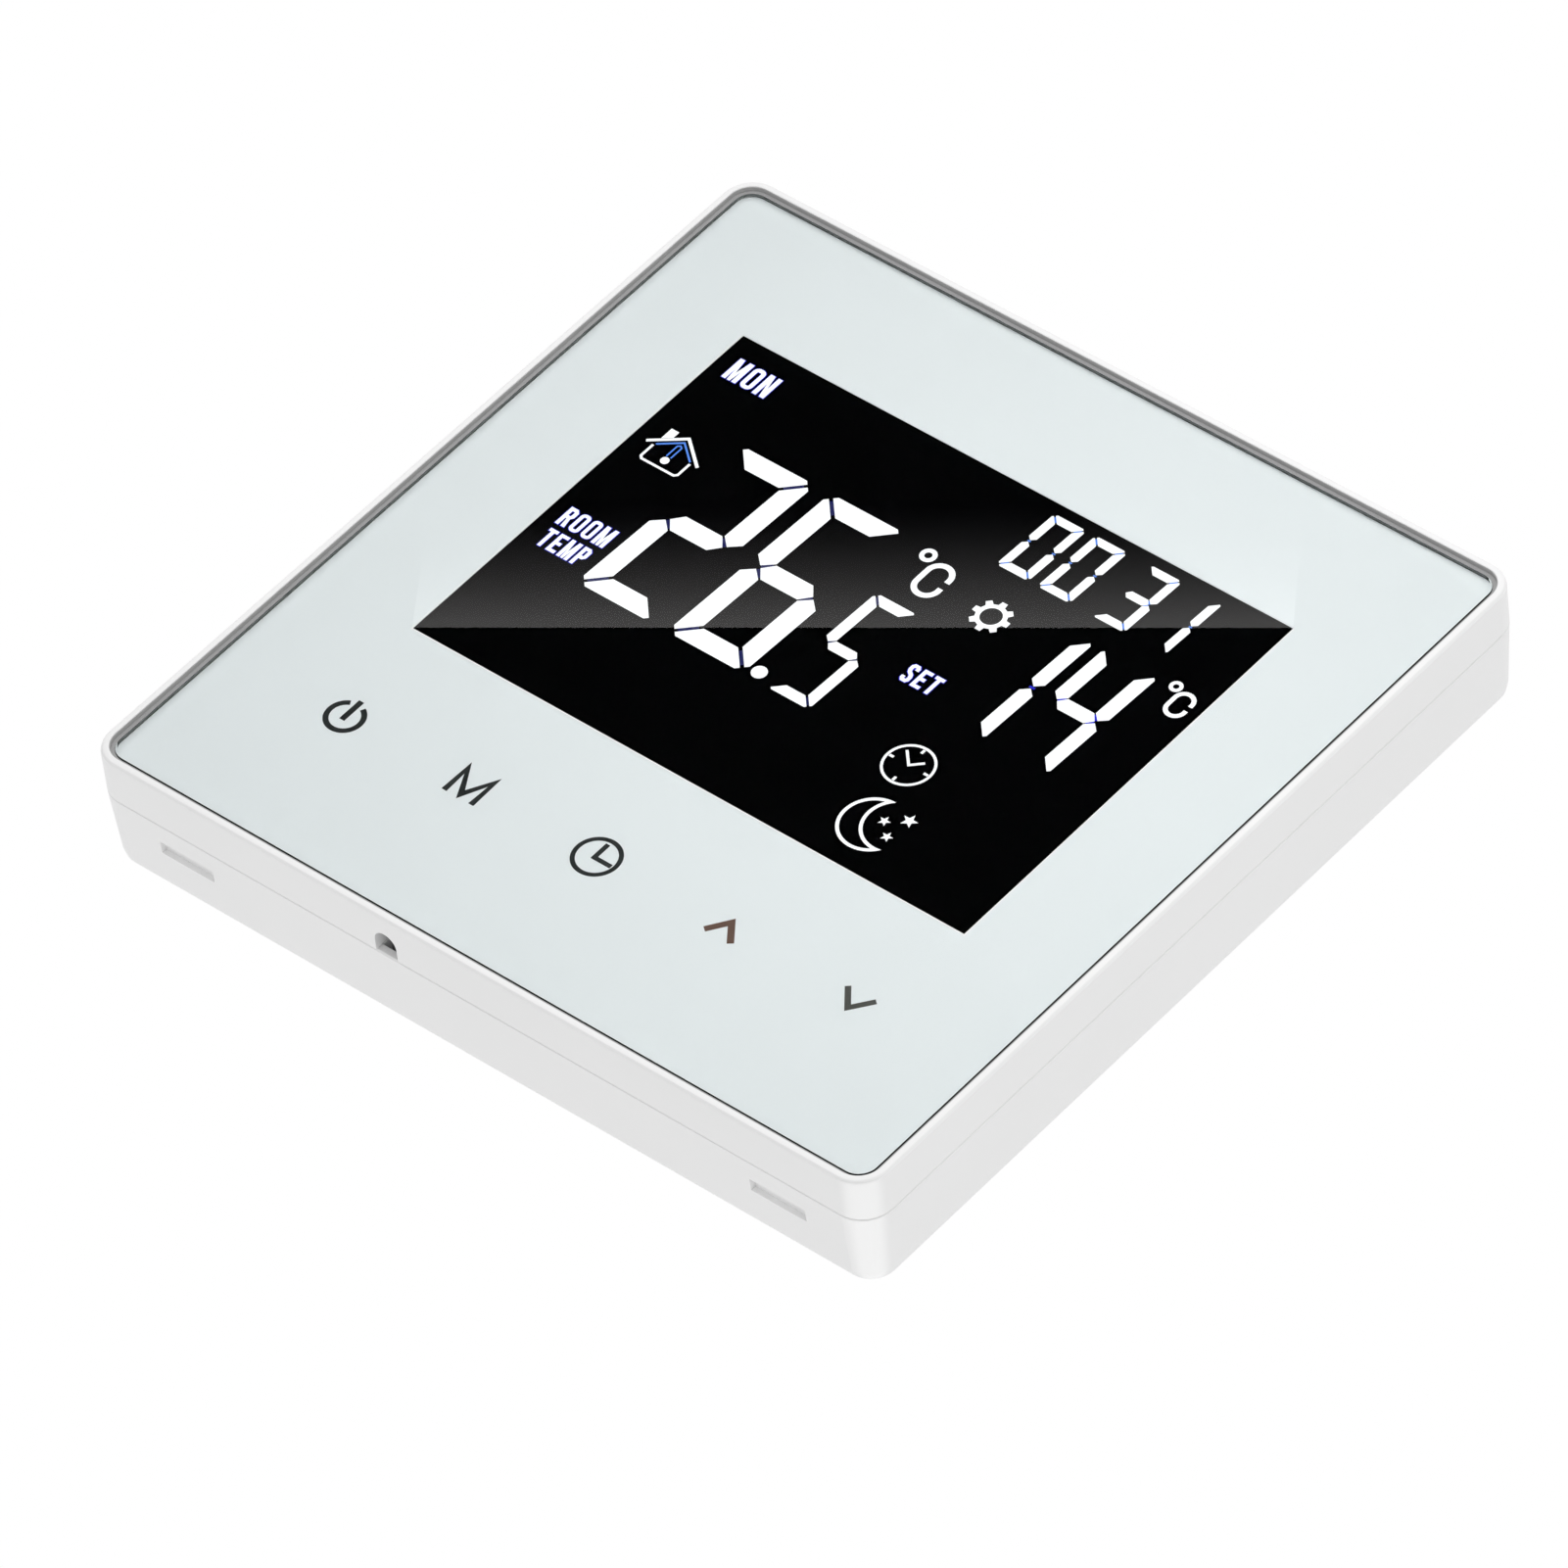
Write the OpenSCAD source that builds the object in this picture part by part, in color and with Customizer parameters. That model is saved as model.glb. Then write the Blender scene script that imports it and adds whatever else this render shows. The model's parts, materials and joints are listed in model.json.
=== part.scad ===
// Wall thermostat with a touch glass front, for a wall box with screws 60 mm apart.
// Frame: X to the right, Y into the wall, Z up. The wall plane is y = 0 and the origin is
// at the centre of the wall screw pattern. The front unit pulls straight off along -Y.

/* [Overall] */
// Width of the front plate
plate_w = 86; // [80:0.5:104]
// Height of the front plate
plate_h = 86; // [80:0.5:104]
// How far the thermostat stands out from the wall
front_depth = 13.3; // [13.3:0.1:18]
// Radius of the upright corners
corner_r = 3; // [2.2:0.1:4]

/* [Front bezel] */
// Depth of the bezel from its lip to the seam
bezel_depth = 4.54; // [4.4:0.02:5]
// Width of the lip that stands round the glass
lip_w = 0.76; // [0.5:0.02:1.2]
// Rounding of the lip's outer edge
lip_round = 0.45; // [0.2:0.05:0.7]
// Thickness of the plate behind the glass
ledge_t = 1.2; // [0.8:0.1:1.6]
// Thickness of the inner skirt that enters the wall case
skirt_t = 1.1; // [0.8:0.1:1.4]
// How far the skirt reaches past the seam
skirt_len = 2.76; // [2.4:0.02:3]
// Gap between the two halves at the seam
seam_gap = 0.06; // [0.04:0.01:0.15]
// Distance of the pry notch from the middle, to the left
notch_x = 9.55; // [5:0.05:16]
// Width of the pry notch
notch_w = 2.4; // [1.6:0.1:3]

/* [Glass and display] */
// Thickness of the front glass
glass_t = 1.1; // [0.7:0.1:2]
// Gap between the glass and the lip
glass_gap = 0.46; // [0.2:0.02:0.6]
// How far the glass lies below the lip
glass_recess = 0.34; // [0.1:0.02:0.6]
// Thickness of the adhesive tape under the glass
tape_t = 0.3; // [0.2:0.05:0.4]
// Width of the clear window in the print
window_w = 61; // [40:0.5:64]
// Height of the clear window in the print
window_h = 43.3; // [30:0.1:48]
// Distance of the window's centre to the right of the middle
window_x = 0; // [-2:0.05:2]
// Height of the window's centre above the middle
window_z = 6.2; // [3:0.1:7]
// Thickness of the liquid crystal panel
lcd_t = 1.8; // [1.4:0.1:2]
// Thickness of the backlight guide
guide_t = 1.7; // [1.4:0.1:2]
// Wall of the display frame
display_wall = 1.2; // [0.8:0.1:1.6]

/* [Touch keys] */
// Number of touch keys
key_count = 5; // [3:1:5]
// Distance between touch keys
key_pitch = 14.07; // [11:0.01:15]
// Distance of the key row below the middle
key_drop = 26.6; // [25:0.1:32]
// Radius of a touch spring
spring_r = 3.2; // [2.4:0.1:3.6]
// Radius of a touch spring's wire
wire_r = 0.25; // [0.15:0.01:0.3]

/* [Control board] */
// Thickness of the control board
board_t = 1.2; // [1:0.1:1.6]
// Distance of the board screws from the middle, sideways
board_screw_x = 36; // [34:0.1:36.5]
// Distance of the board screws from the middle, up and down
board_screw_z = 35.5; // [34:0.1:36.5]
// Radius of the clock's backup cell
cell_r = 6.25; // [4:0.05:6.5]
// Thickness of the backup cell
cell_t = 2; // [1.2:0.1:2]

/* [Wall case] */
// Wall of the case at the seam
case_wall = 1.8; // [1.6:0.1:2.2]
// Thickness of the case floor on the wall
case_floor = 2; // [1.6:0.1:2.4]
// How far the case sides lean in towards the wall
case_draft = 0.45; // [0:0.05:0.6]
// Rounding of the case edge at the wall
case_round = 0.9; // [0.4:0.1:1.2]
// Distance between the wall screws
screw_spacing = 60; // [60:0.5:64]
// Width of the wall screw slots
slot_w = 4.4; // [4:0.1:5]
// Length of the wall screw slots
slot_len = 8; // [6:0.1:8.4]

/* [Rear box] */
// Width of the box that goes into the wall
box_w = 48; // [48:0.5:50]
// Height of the box above the middle
box_top = 24; // [24:0.5:25]
// Height of the box below the middle
box_low = 20; // [20:0.1:21]
// Depth of the box behind the wall plane
box_depth = 24; // [22.5:0.5:30]
// Wall of the box
box_wall = 1.6; // [1.2:0.1:1.6]
// Depth of the sill round the terminals
sill_depth = 6; // [4:0.1:8]

/* [Power board] */
// Thickness of the power board
power_t = 1.6; // [1.2:0.1:1.6]
// Thickness of the inner cover
cover_t = 1.2; // [1:0.1:1.4]
// Number of contacts in the board connector
pin_count = 8; // [4:1:8]
// Distance between contacts
pin_pitch = 2; // [1.8:0.1:2.2]

/* [Terminals] */
// Number of screw terminals
poles = 6; // [3:1:6]
// Distance between terminals
pole_pitch = 6.4; // [6.2:0.1:6.4]
// Radius of a terminal screw's shank
terminal_r = 1.5; // [1.25:0.05:1.6]
// Radius of a terminal screw's head
head_r = 2.2; // [1.9:0.1:2.3]
// Travel of a clamp from open to closed
clamp_travel = 2.8; // [2:0.1:2.9]

/* [Relay] */
// Length of the relay
relay_l = 28; // [27:0.5:28]
// Width of the relay
relay_w = 12.5; // [12:0.1:12.5]
// Height of the relay above the board
relay_h = 15.7; // [15.5:0.1:18]

/* [Hidden] */
$fn = 64;
hull_fn = 32;
eps = 0.01;

// clearances
slide_gap = 0.3;     // skirt to case wall
fit_gap = 0.05;      // running fit of a screw in its clamp, and of stacked pieces
loose_gap = 0.2;     // parts that drop into place
bead_r = 0.5;        // snap bead
bead_bite = 0.5;     // how far the bead stands out of the skirt
bead_len = 10;
bead_x = 22;

// depths in the front unit, counted from the wall plane towards the room (negative y)
y_lip = -front_depth;
y_glass_f = y_lip + glass_recess;
y_glass_b = y_glass_f + glass_t;
print_t = 0.05;
y_ledge_f = y_glass_b + tape_t;
y_ledge_b = y_ledge_f + ledge_t;
y_seam = y_lip + bezel_depth;
y_skirt = y_seam + skirt_len;
y_bead = y_seam + 1.36;
display_tape_t = 0.1;
y_lcd_f = y_glass_b + print_t + display_tape_t;
y_lcd_b = y_lcd_f + lcd_t;
shelf_t = 0.4;                                // shelf of the display frame under the panel
y_guide_f = y_lcd_b + shelf_t + fit_gap;
y_guide_b = y_guide_f + guide_t;
reflector_t = 0.15;
y_reflector = y_guide_b + fit_gap;
y_board_f = y_reflector + reflector_t + 0.16;
y_board_b = y_board_f + board_t;
header_base_t = 1;
y_socket = y_board_b + header_base_t + 0.25;
y_floor = -case_floor;
y_cover = y_floor - cover_t;

// places on the control board
mcu_at = [10, 13];
touch_chip_at = [0, -27];
crystal_z = 27;
cell_at = [31.5, 26];

// insets from the plate's edge
half_h = plate_h / 2;
lip_r = corner_r - lip_w;
skirt_in = case_wall + slide_gap;             // inset of the skirt's outer face
skirt_r = max(corner_r - skirt_in, 0.8);
board_in = skirt_in + skirt_t + 0.4;          // inset of the control board's edge
glass_in = lip_w + glass_gap;

// display stack
lcd_w = window_w + 4.2;
lcd_h = window_h + 4.9;
display_w = lcd_w + 2 * (loose_gap + display_wall);
display_h = lcd_h + 2 * (loose_gap + display_wall);
led_room = 1.8;
strip_h = 2;

// keys
key_hole_r = spring_r + wire_r + 1;
function key_x(i) = window_x - 0.1 + (i - (key_count + 1) / 2) * key_pitch;

// tray pockets and notch
pocket_w = 6;
pocket_t = 1.45;
pocket_x = 32.75;
pocket_y = y_lip + 6.9;
pocket_floor = 0.5 + case_draft * 0.6;        // depth of a pocket's floor in the side
notch_y = y_lip + 2;
notch_sill = 0.8;

// screws
pan_r = 2;
pan_t = 1.2;
shank_r = 1.05;
pilot_r = 1.1;
boss_r = 2.3;
board_screws = [for (sx = [-1, 1], sz = [-1, 1]) [sx * board_screw_x, sz * board_screw_z]];

// rear box: an outline with cut corners that passes into a round box
corner_cut = box_w / 2 + box_top - 8;
partition_z = -8.2;
cover_screws_at = [[-17, 17.5], [17, 17.5], [-20, -5.5], [20, -5.5]];
y_box_in = box_depth - box_wall;
cover_edge = 1;                               // how far the inner cover laps past the mouth

// relay
relay_z = 9 + relay_w / 2;
coil_y = power_t + 7.4;
coil_r = 4.2;
core_r = 2;
pivot_x = 5.6;
pivot_y = power_t + 13.6;
yoke_t = 1;
armature_t = 1;
contact_x = pivot_x + 5.6;
contact_gap = 0.55;
bobbin_x = [-11.6, 3.6];
flange_t = 0.8;

// power parts: places, sizes and the leads that pass through the board
lead_r = 0.35;
lead_tail = 0.8;
transformer_at = [-15.5, -6.2];
transformer_size = [14, 13.4];
transformer_h = 12;
transformer_leads = [
    for (sx = [0.25, 0.45], z = [1.2, transformer_size[1] - 1.2])
        [transformer_at[0] + sx * transformer_size[0], transformer_at[1] + z]
];
cans = [[3.5, 4.3, 4, 13], [3, -3.2, 3.15, 10]];
can_leads = [for (c = cans, s = [-1, 1]) [c[0] + s * c[2] * 0.4, c[1]]];
film_leads = [[12, -4.6], [12, 5.3]];
varistor_at = [-19.4, 2.6];
varistor_r = 4.5;
varistor_leads = [for (s = [-1, 1]) [varistor_at[0], varistor_at[1] + s * 2.5]];
fuse_leads = [[19, -0.6], [19, 7.4]];
leads = concat(transformer_leads, can_leads, film_leads, varistor_leads, fuse_leads);

// terminals
function pole_x(i) = (i - (poles + 1) / 2) * pole_pitch;
block_w = poles * pole_pitch + 1.2;
block_low = box_low - 0.6;
block_top = 8.6;
cavity_w = 5.2;
cavity_low = 18.3;
cavity_top = 10.3;
screw_z = -14.4;
clamp_w = 4.8;
clamp_l = 5.8;
clamp_floor = 1;
clamp_head = 2;
clamp_side = 0.7;
bar_t = 0.8;
bar_w = 3;
wire_rest = 0.5;                              // room left for a wire under the bar
clamp_window = clamp_travel + wire_rest + bar_t + 0.1;
y_cavity_low = power_t + 1.6;
y_clamp = y_cavity_low + 0.2;
y_clamp_top = y_clamp + clamp_floor + clamp_window + clamp_head;
y_cavity_top = y_clamp_top + clamp_travel + 0.6;
y_bar = y_clamp + clamp_floor + clamp_travel + wire_rest;
y_seat = y_cavity_top + 1.4;
head_t = 1.6;
y_block = y_seat + fit_gap + head_t + 0.55;

// board connector
pin_z = -5.4;

FRONT_NODES = [
    "front_bezel", "glass_panel", "glass_print", "glass_tape", "display_tape", "lcd_panel",
    "lcd_frame", "light_guide", "reflector_film", "backlight_leds", "contact_strip",
    "control_board", "touch_springs", "microcontroller", "touch_chip", "clock_crystal",
    "room_sensor", "backup_cell", "cell_clip", "board_screws", "pin_header"
];
REAR_NODES = [
    "wall_case", "inner_cover", "cover_screws", "power_board", "socket_header",
    "rectifier", "power_chip", "relay_base", "relay_cover", "relay_bobbin", "relay_coil",
    "relay_yoke", "relay_contact", "relay_armature", "contact_spring", "transformer_core",
    "transformer_winding", "electrolytic_capacitors", "film_capacitor", "varistor", "fuse",
    "terminal_block", "terminal_bars"
];

// ---- helpers -----------------------------------------------------------------------

// Extrudes an outline drawn in X and Z from depth y0 to depth y1.
module slab(y0, y1) {
    translate([0, y1, 0]) rotate([90, 0, 0]) linear_extrude(y1 - y0) children();
}

// A rectangle with true round corners.
module rounded(w, h, r) {
    square([w - 2 * r, h], center = true);
    square([w, h - 2 * r], center = true);
    for (sx = [-1, 1], sz = [-1, 1])
        translate([sx * (w / 2 - r), sz * (h / 2 - r)]) circle(r);
}

// A box given by its lowest and highest corners.
module span(low, high) {
    translate(low) cube(high - low);
}

// A cylinder along Y at (x, z), from depth y0 to depth y1.
module post(x, z, r, y0, y1) {
    translate([x, y1, z]) rotate([90, 0, 0]) cylinder(r = r, h = y1 - y0);
}

// A cylinder along X from x0 to x1 at (y, z).
module rod_x(y, z, r, x0, x1) {
    translate([x0, y, z]) rotate([0, 90, 0]) cylinder(r = r, h = x1 - x0);
}

// The rear box's outline, drawn in by a distance d.
module box_outline(d) {
    w = box_w / 2 - d;
    t = box_top - d;
    b = box_low - d;
    c = corner_cut - d * sqrt(2);
    polygon([
        [c - t, t], [w, c - w], [w, w - c], [c - b, -b],
        [b - c, -b], [-w, w - c], [-w, c - w], [t - c, t]
    ]);
}

// A slot of width w and length len, along X.
module slot_shape(w, len) {
    square([len - w, w], center = true);
    for (s = [-1, 1]) translate([s * (len - w) / 2, 0]) circle(w / 2);
}

// A pan head screw along Y: the head sits on y_under, the shank runs len along dir.
module pan_screw(x, z, y_under, dir, len) {
    lo = min(y_under, y_under + dir * len);
    hi = max(y_under, y_under + dir * len);
    head_lo = min(y_under, y_under - dir * pan_t);
    difference() {
        union() {
            post(x, z, shank_r, lo, hi);
            post(x, z, pan_r, head_lo, head_lo + pan_t);
        }
        for (a = [0, 90])
            translate([x, y_under - dir * pan_t, z]) rotate([0, a, 0])
                cube([2.4, 1.2, 0.5], center = true);
    }
}

// Two rows of flat pins beside a chip at c, turned about Y by the given angle.
module pins(c, count, pitch, half, y0, y1, turn) {
    reach = 1.1;
    translate([c[0], 0, c[1]]) rotate([0, turn, 0])
        for (i = [0:count - 1], s = [-1, 1]) {
            x = (i - (count - 1) / 2) * pitch;
            z0 = s > 0 ? half : -half - reach;
            span([x - 0.2, y0, z0], [x + 0.2, y1, z0 + reach]);
        }
}

// A round lead from a part down through the power board.
module lead(p, y_top) {
    post(p[0], p[1], lead_r, -lead_tail, y_top);
}

// ---- front unit --------------------------------------------------------------------

module front_bezel() {
    y_low = y_seam - seam_gap / 2;
    color("white") difference() {
        union() {
            hull() {
                for (s = [[0, 1], [0.13, 0.5], [0.5, 0.13], [1, 0]])
                    slab(y_lip + s[0] * lip_round, y_lip + s[0] * lip_round + eps)
                        bezel_edge(s[1] * lip_round);
                slab(y_low - eps, y_low) bezel_edge(0);
            }
            slab(y_ledge_b - eps, y_skirt)
                rounded(plate_w - 2 * skirt_in, plate_h - 2 * skirt_in, skirt_r);
            snap_beads(bead_r, bead_len);
        }
        // well for the glass
        slab(y_lip - 1, y_ledge_f)
            rounded(plate_w - 2 * lip_w, plate_h - 2 * lip_w, lip_r);
        // hollow behind the ledge plate
        slab(y_ledge_b, y_skirt + 1)
            rounded(
                plate_w - 2 * (skirt_in + skirt_t),
                plate_h - 2 * (skirt_in + skirt_t), skirt_r
            );
        // window for the display frame
        slab(y_ledge_f - 1, y_ledge_b + 1) translate([window_x, window_z])
            square([display_w + 0.6, display_h + 0.6], center = true);
        // holes for the touch springs
        for (i = [1:key_count])
            post(key_x(i), -key_drop, key_hole_r, y_ledge_f - 1, y_ledge_b + 1);
        // pry notch through the lower wall, the plate's edge and the skirt
        pry_notch();
    }
    // bosses for the control board
    color("white") for (p = board_screws) difference() {
        post(p[0], p[1], boss_r, y_ledge_b - eps, y_board_f);
        post(p[0], p[1], pilot_r, y_ledge_b + 0.2, y_board_f + 1);
    }
}

module bezel_edge(d) {
    w = plate_w / 2 - d;
    h = plate_h / 2 - d;
    r = corner_r - d;
    for (sx = [-1, 1], sz = [-1, 1])
        translate([sx * (w - r), sz * (h - r)]) circle(r, $fn = hull_fn);
}

module pry_notch() {
    reach = skirt_in + skirt_t + 3;
    translate([-notch_x, 0, -half_h - 1]) {
        span([-notch_w / 2, notch_y + notch_w / 2, 0], [notch_w / 2, y_seam + 1, reach]);
        translate([0, notch_y + notch_w / 2, 0]) cylinder(r = notch_w / 2, h = reach);
        span([-notch_w / 2, y_seam, 0], [notch_w / 2, y_skirt + 1, reach]);
    }
}

// Beads along X on the skirt's top and bottom, or the grooves that take them.
module snap_beads(r, len) {
    z = half_h - skirt_in - bead_r + bead_bite;
    for (sx = [-1, 1], sz = [-1, 1])
        rod_x(y_bead, sz * z, r, sx * bead_x - len / 2, sx * bead_x + len / 2);
}

module glass_panel() {
    color("lightcyan") slab(y_glass_f, y_glass_b)
        rounded(plate_w - 2 * glass_in, plate_h - 2 * glass_in, lip_r - glass_gap);
}

module glass_print() {
    color("aliceblue") slab(y_glass_b, y_glass_b + print_t) difference() {
        rounded(plate_w - 2 * glass_in, plate_h - 2 * glass_in, lip_r - glass_gap);
        translate([window_x, window_z]) square([window_w, window_h], center = true);
    }
}

module glass_tape() {
    inset = glass_in + 0.6;
    color("gray") slab(y_glass_b + print_t, y_ledge_f) difference() {
        rounded(plate_w - 2 * inset, plate_h - 2 * inset, 1);
        translate([window_x, window_z])
            square([display_w + 1.2, display_h + 1.2], center = true);
        for (i = [1:key_count]) translate([key_x(i), -key_drop]) circle(key_hole_r + 0.3);
    }
}

module lcd_panel() {
    color([0.02, 0.02, 0.03]) slab(y_lcd_f, y_lcd_b) translate([window_x, window_z])
        square([lcd_w, lcd_h], center = true);
}

// Tape that joins the panel to the print, round the window.
module display_tape() {
    color("black") slab(y_glass_b + print_t, y_lcd_f) translate([window_x, window_z])
        difference() {
            square([lcd_w, lcd_h], center = true);
            square([window_w + 0.6, window_h + 0.6], center = true);
        }
}

// The panel drops in from the front on a shelf, the light guide from behind.
module lcd_frame() {
    in_w = display_w - 2 * display_wall;
    in_h = display_h - 2 * display_wall;
    strip_w = lcd_w - 6 + 2 * loose_gap;
    color("whitesmoke") translate([window_x, 0, window_z]) difference() {
        slab(y_lcd_f, y_board_f) square([display_w, display_h], center = true);
        slab(y_lcd_f - 1, y_lcd_b) square([in_w, in_h], center = true);
        slab(y_lcd_b + shelf_t, y_board_f + 1) square([in_w, in_h], center = true);
        slab(y_lcd_f - 1, y_board_f) square([window_w + 1.6, window_h + 1.6], center = true);
        // way for the contact strip through the shelf
        span(
            [-strip_w / 2, y_lcd_f - 1, lcd_h / 2 - strip_h - loose_gap],
            [strip_w / 2, y_board_f, in_h / 2]
        );
    }
}

module light_guide() {
    low = window_z - lcd_h / 2;
    color("lightblue", 0.8)
        span(
            [window_x - lcd_w / 2 + led_room, y_guide_f, low],
            [window_x + lcd_w / 2, y_guide_b, low + lcd_h - strip_h - loose_gap]
        );
}

module reflector_film() {
    low = window_z - lcd_h / 2;
    color("white")
        span(
            [window_x - lcd_w / 2 + led_room, y_reflector, low],
            [window_x + lcd_w / 2, y_reflector + reflector_t, low + lcd_h - strip_h - loose_gap]
        );
}

module backlight_leds() {
    x = window_x - lcd_w / 2;
    color("lightyellow") for (i = [0:3])
        span(
            [x + 0.2, y_guide_f + 0.1, window_z - 18 + i * 11],
            [x + led_room - 0.2, y_board_f, window_z - 15 + i * 11]
        );
}

module contact_strip() {
    top = window_z + lcd_h / 2;
    color("dimgray")
        span(
            [window_x - lcd_w / 2 + 3, y_lcd_b, top - strip_h],
            [window_x + lcd_w / 2 - 3, y_board_f, top]
        );
}

module control_board() {
    w = plate_w - 2 * board_in;
    h = plate_h - 2 * board_in;
    color("darkgreen") difference() {
        slab(y_board_f, y_board_b) rounded(w, h, 1);
        for (p = board_screws) post(p[0], p[1], pilot_r + 0.3, y_board_f - 1, y_board_b + 1);
        // slot that keeps the room sensor away from the board's warmth
        span([-notch_x - 3, y_board_f - 1, -h / 2 - 1], [-notch_x + 3, y_board_b + 1, -h / 2 + 5]);
    }
}

module touch_springs() {
    turns = 5;
    rise = y_board_f - y_glass_b - print_t - 2 * wire_r - 2 * fit_gap;
    color("silver") for (i = [1:key_count])
        translate([key_x(i), y_board_f - wire_r, -key_drop]) {
            for (t = [0:turns - 1])
                translate([0, -fit_gap - rise * t / (turns - 1), 0]) rotate([90, 0, 0])
                    rotate_extrude($fn = 48) translate([spring_r, 0]) circle(wire_r, $fn = 16);
            post(spring_r, 0, wire_r, -rise - fit_gap, wire_r);
        }
}

module microcontroller() {
    half = 5;
    color("black")
        span(
            [mcu_at[0] - half, y_board_b + 0.1, mcu_at[1] - half],
            [mcu_at[0] + half, y_board_b + 1.5, mcu_at[1] + half]
        );
    color("silver") {
        pins(mcu_at, 11, 0.8, half, y_board_b, y_board_b + 0.5, 0);
        pins(mcu_at, 11, 0.8, half, y_board_b, y_board_b + 0.5, 90);
    }
}

module touch_chip() {
    color("black")
        span(
            [touch_chip_at[0] - 5, y_board_b + 0.1, touch_chip_at[1] - 2],
            [touch_chip_at[0] + 5, y_board_b + 1.6, touch_chip_at[1] + 2]
        );
    color("silver") pins(touch_chip_at, 8, 1.2, 2, y_board_b, y_board_b + 0.5, 0);
}

module clock_crystal() {
    r = 0.95;
    color("lightgray") rod_x(y_board_b + r, crystal_z, r, -4, 2);
    color("silver") for (s = [-1, 1])
        span(
            [1.5, y_board_b, crystal_z + s * 0.5 - 0.15],
            [4.5, y_board_b + 1, crystal_z + s * 0.5 + 0.15]
        );
}

// A bead on two wires: it hangs in the board's slot, above the pry notch.
module room_sensor() {
    bead = 1.1;
    wire = 0.4;
    z = board_in - half_h + 2;
    y = (y_board_f + y_board_b) / 2;
    color("black") translate([-notch_x, y, z - bead]) {
        cylinder(r1 = bead * 0.5, r2 = bead, h = bead * 0.6);
        translate([0, 0, bead * 0.6 - eps]) cylinder(r = bead, h = bead * 1.2);
    }
    color("silver") for (s = [-0.6, 0.6]) translate([s - notch_x - wire / 2, 0, z]) {
        span([0, y - wire / 2, 0], [wire, y + wire / 2, 2.9]);
        span([0, y - wire / 2, 2.9 - wire], [wire, y_board_b + wire, 2.9]);
        span([0, y_board_b, 2.9 - wire], [wire, y_board_b + wire, 4.5]);
    }
}

module backup_cell() {
    y = y_board_b + 0.1;
    color("silver") post(cell_at[0], cell_at[1], cell_r, y, y + cell_t);
}

module cell_clip() {
    y_top = y_board_b + 0.1 + cell_t;
    strap = 0.3;
    w = cell_r + 0.2;
    color("goldenrod") translate([cell_at[0], 0, cell_at[1]]) {
        span([-2, y_top, -w - strap], [2, y_top + strap, w + strap]);
        for (s = [-1, 1]) {
            z0 = s > 0 ? w : -w - strap;
            span([-2, y_board_b, z0], [2, y_top + strap, z0 + strap]);
        }
    }
}

module board_screws_set() {
    color("silver") for (p = board_screws) pan_screw(p[0], p[1], y_board_b, -1, 3.6);
}

module pin_header() {
    w = pin_count * pin_pitch;
    color("black")
        span([-w / 2, y_board_b, pin_z - 1.25], [w / 2, y_board_b + header_base_t, pin_z + 1.25]);
    color("gold") for (i = [0:pin_count - 1]) {
        x = (i - (pin_count - 1) / 2) * pin_pitch;
        span([x - 0.25, y_board_b, pin_z - 0.25], [x + 0.25, -0.9, pin_z + 0.25]);
    }
}

// ---- wall unit ---------------------------------------------------------------------

module case_edge(d) {
    w = plate_w / 2 - d;
    h = plate_h / 2 - d;
    r = max(corner_r - d, 0.5);
    for (sx = [-1, 1], sz = [-1, 1])
        translate([sx * (w - r), sz * (h - r)]) circle(r, $fn = hull_fn);
}

module wall_case() {
    y_top = y_seam + seam_gap / 2;
    edge_cut = 0.15;
    inner_r = max(corner_r - case_wall, 0.8);
    color("white") difference() {
        union() {
            hull() {
                slab(y_top, y_top + eps) case_edge(edge_cut);
                slab(y_top + edge_cut, y_top + edge_cut + eps) case_edge(0);
                for (s = [[1, 0], [0.5, 0.13], [0.13, 0.5], [0, 1]])
                    slab(-s[0] * case_round - eps, -s[0] * case_round)
                        case_edge(case_draft + s[1] * case_round);
            }
            rear_box();
        }
        // hollow of the tray
        slab(y_top - 1, y_floor)
            rounded(plate_w - 2 * case_wall, plate_h - 2 * case_wall, inner_r);
        // mouth of the rear box
        slab(y_floor - 1, eps) box_outline(box_wall);
        // slots for the wall screws, level and upright pairs
        for (s = [-1, 1]) {
            slab(y_floor - 1, 1) translate([s * screw_spacing / 2, 0]) slot_shape(slot_w, slot_len);
            slab(y_floor - 1, 1) translate([0, s * screw_spacing / 2]) rotate(90)
                slot_shape(slot_w, slot_len);
        }
        // grooves for the snap beads
        snap_beads(bead_r + slide_gap, bead_len + 1);
        // shallow pockets low in the bottom side
        for (s = [-1, 1])
            span(
                [s * pocket_x - pocket_w / 2, pocket_y, -half_h - 1],
                [s * pocket_x + pocket_w / 2, pocket_y + pocket_t, pocket_floor - half_h]
            );
        // clearance behind the pry notch for a screwdriver's tip
        span(
            [-notch_x - notch_w / 2, y_top - 1, -half_h + notch_sill],
            [-notch_x + notch_w / 2, y_top + 1.6, -half_h + case_wall + 1]
        );
    }
    // bosses for the board and cover screws
    color("white") for (p = cover_screws_at) difference() {
        post(p[0], p[1], boss_r, power_t, y_box_in + eps);
        post(p[0], p[1], pilot_r, power_t - 1, power_t + 7);
    }
}

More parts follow.
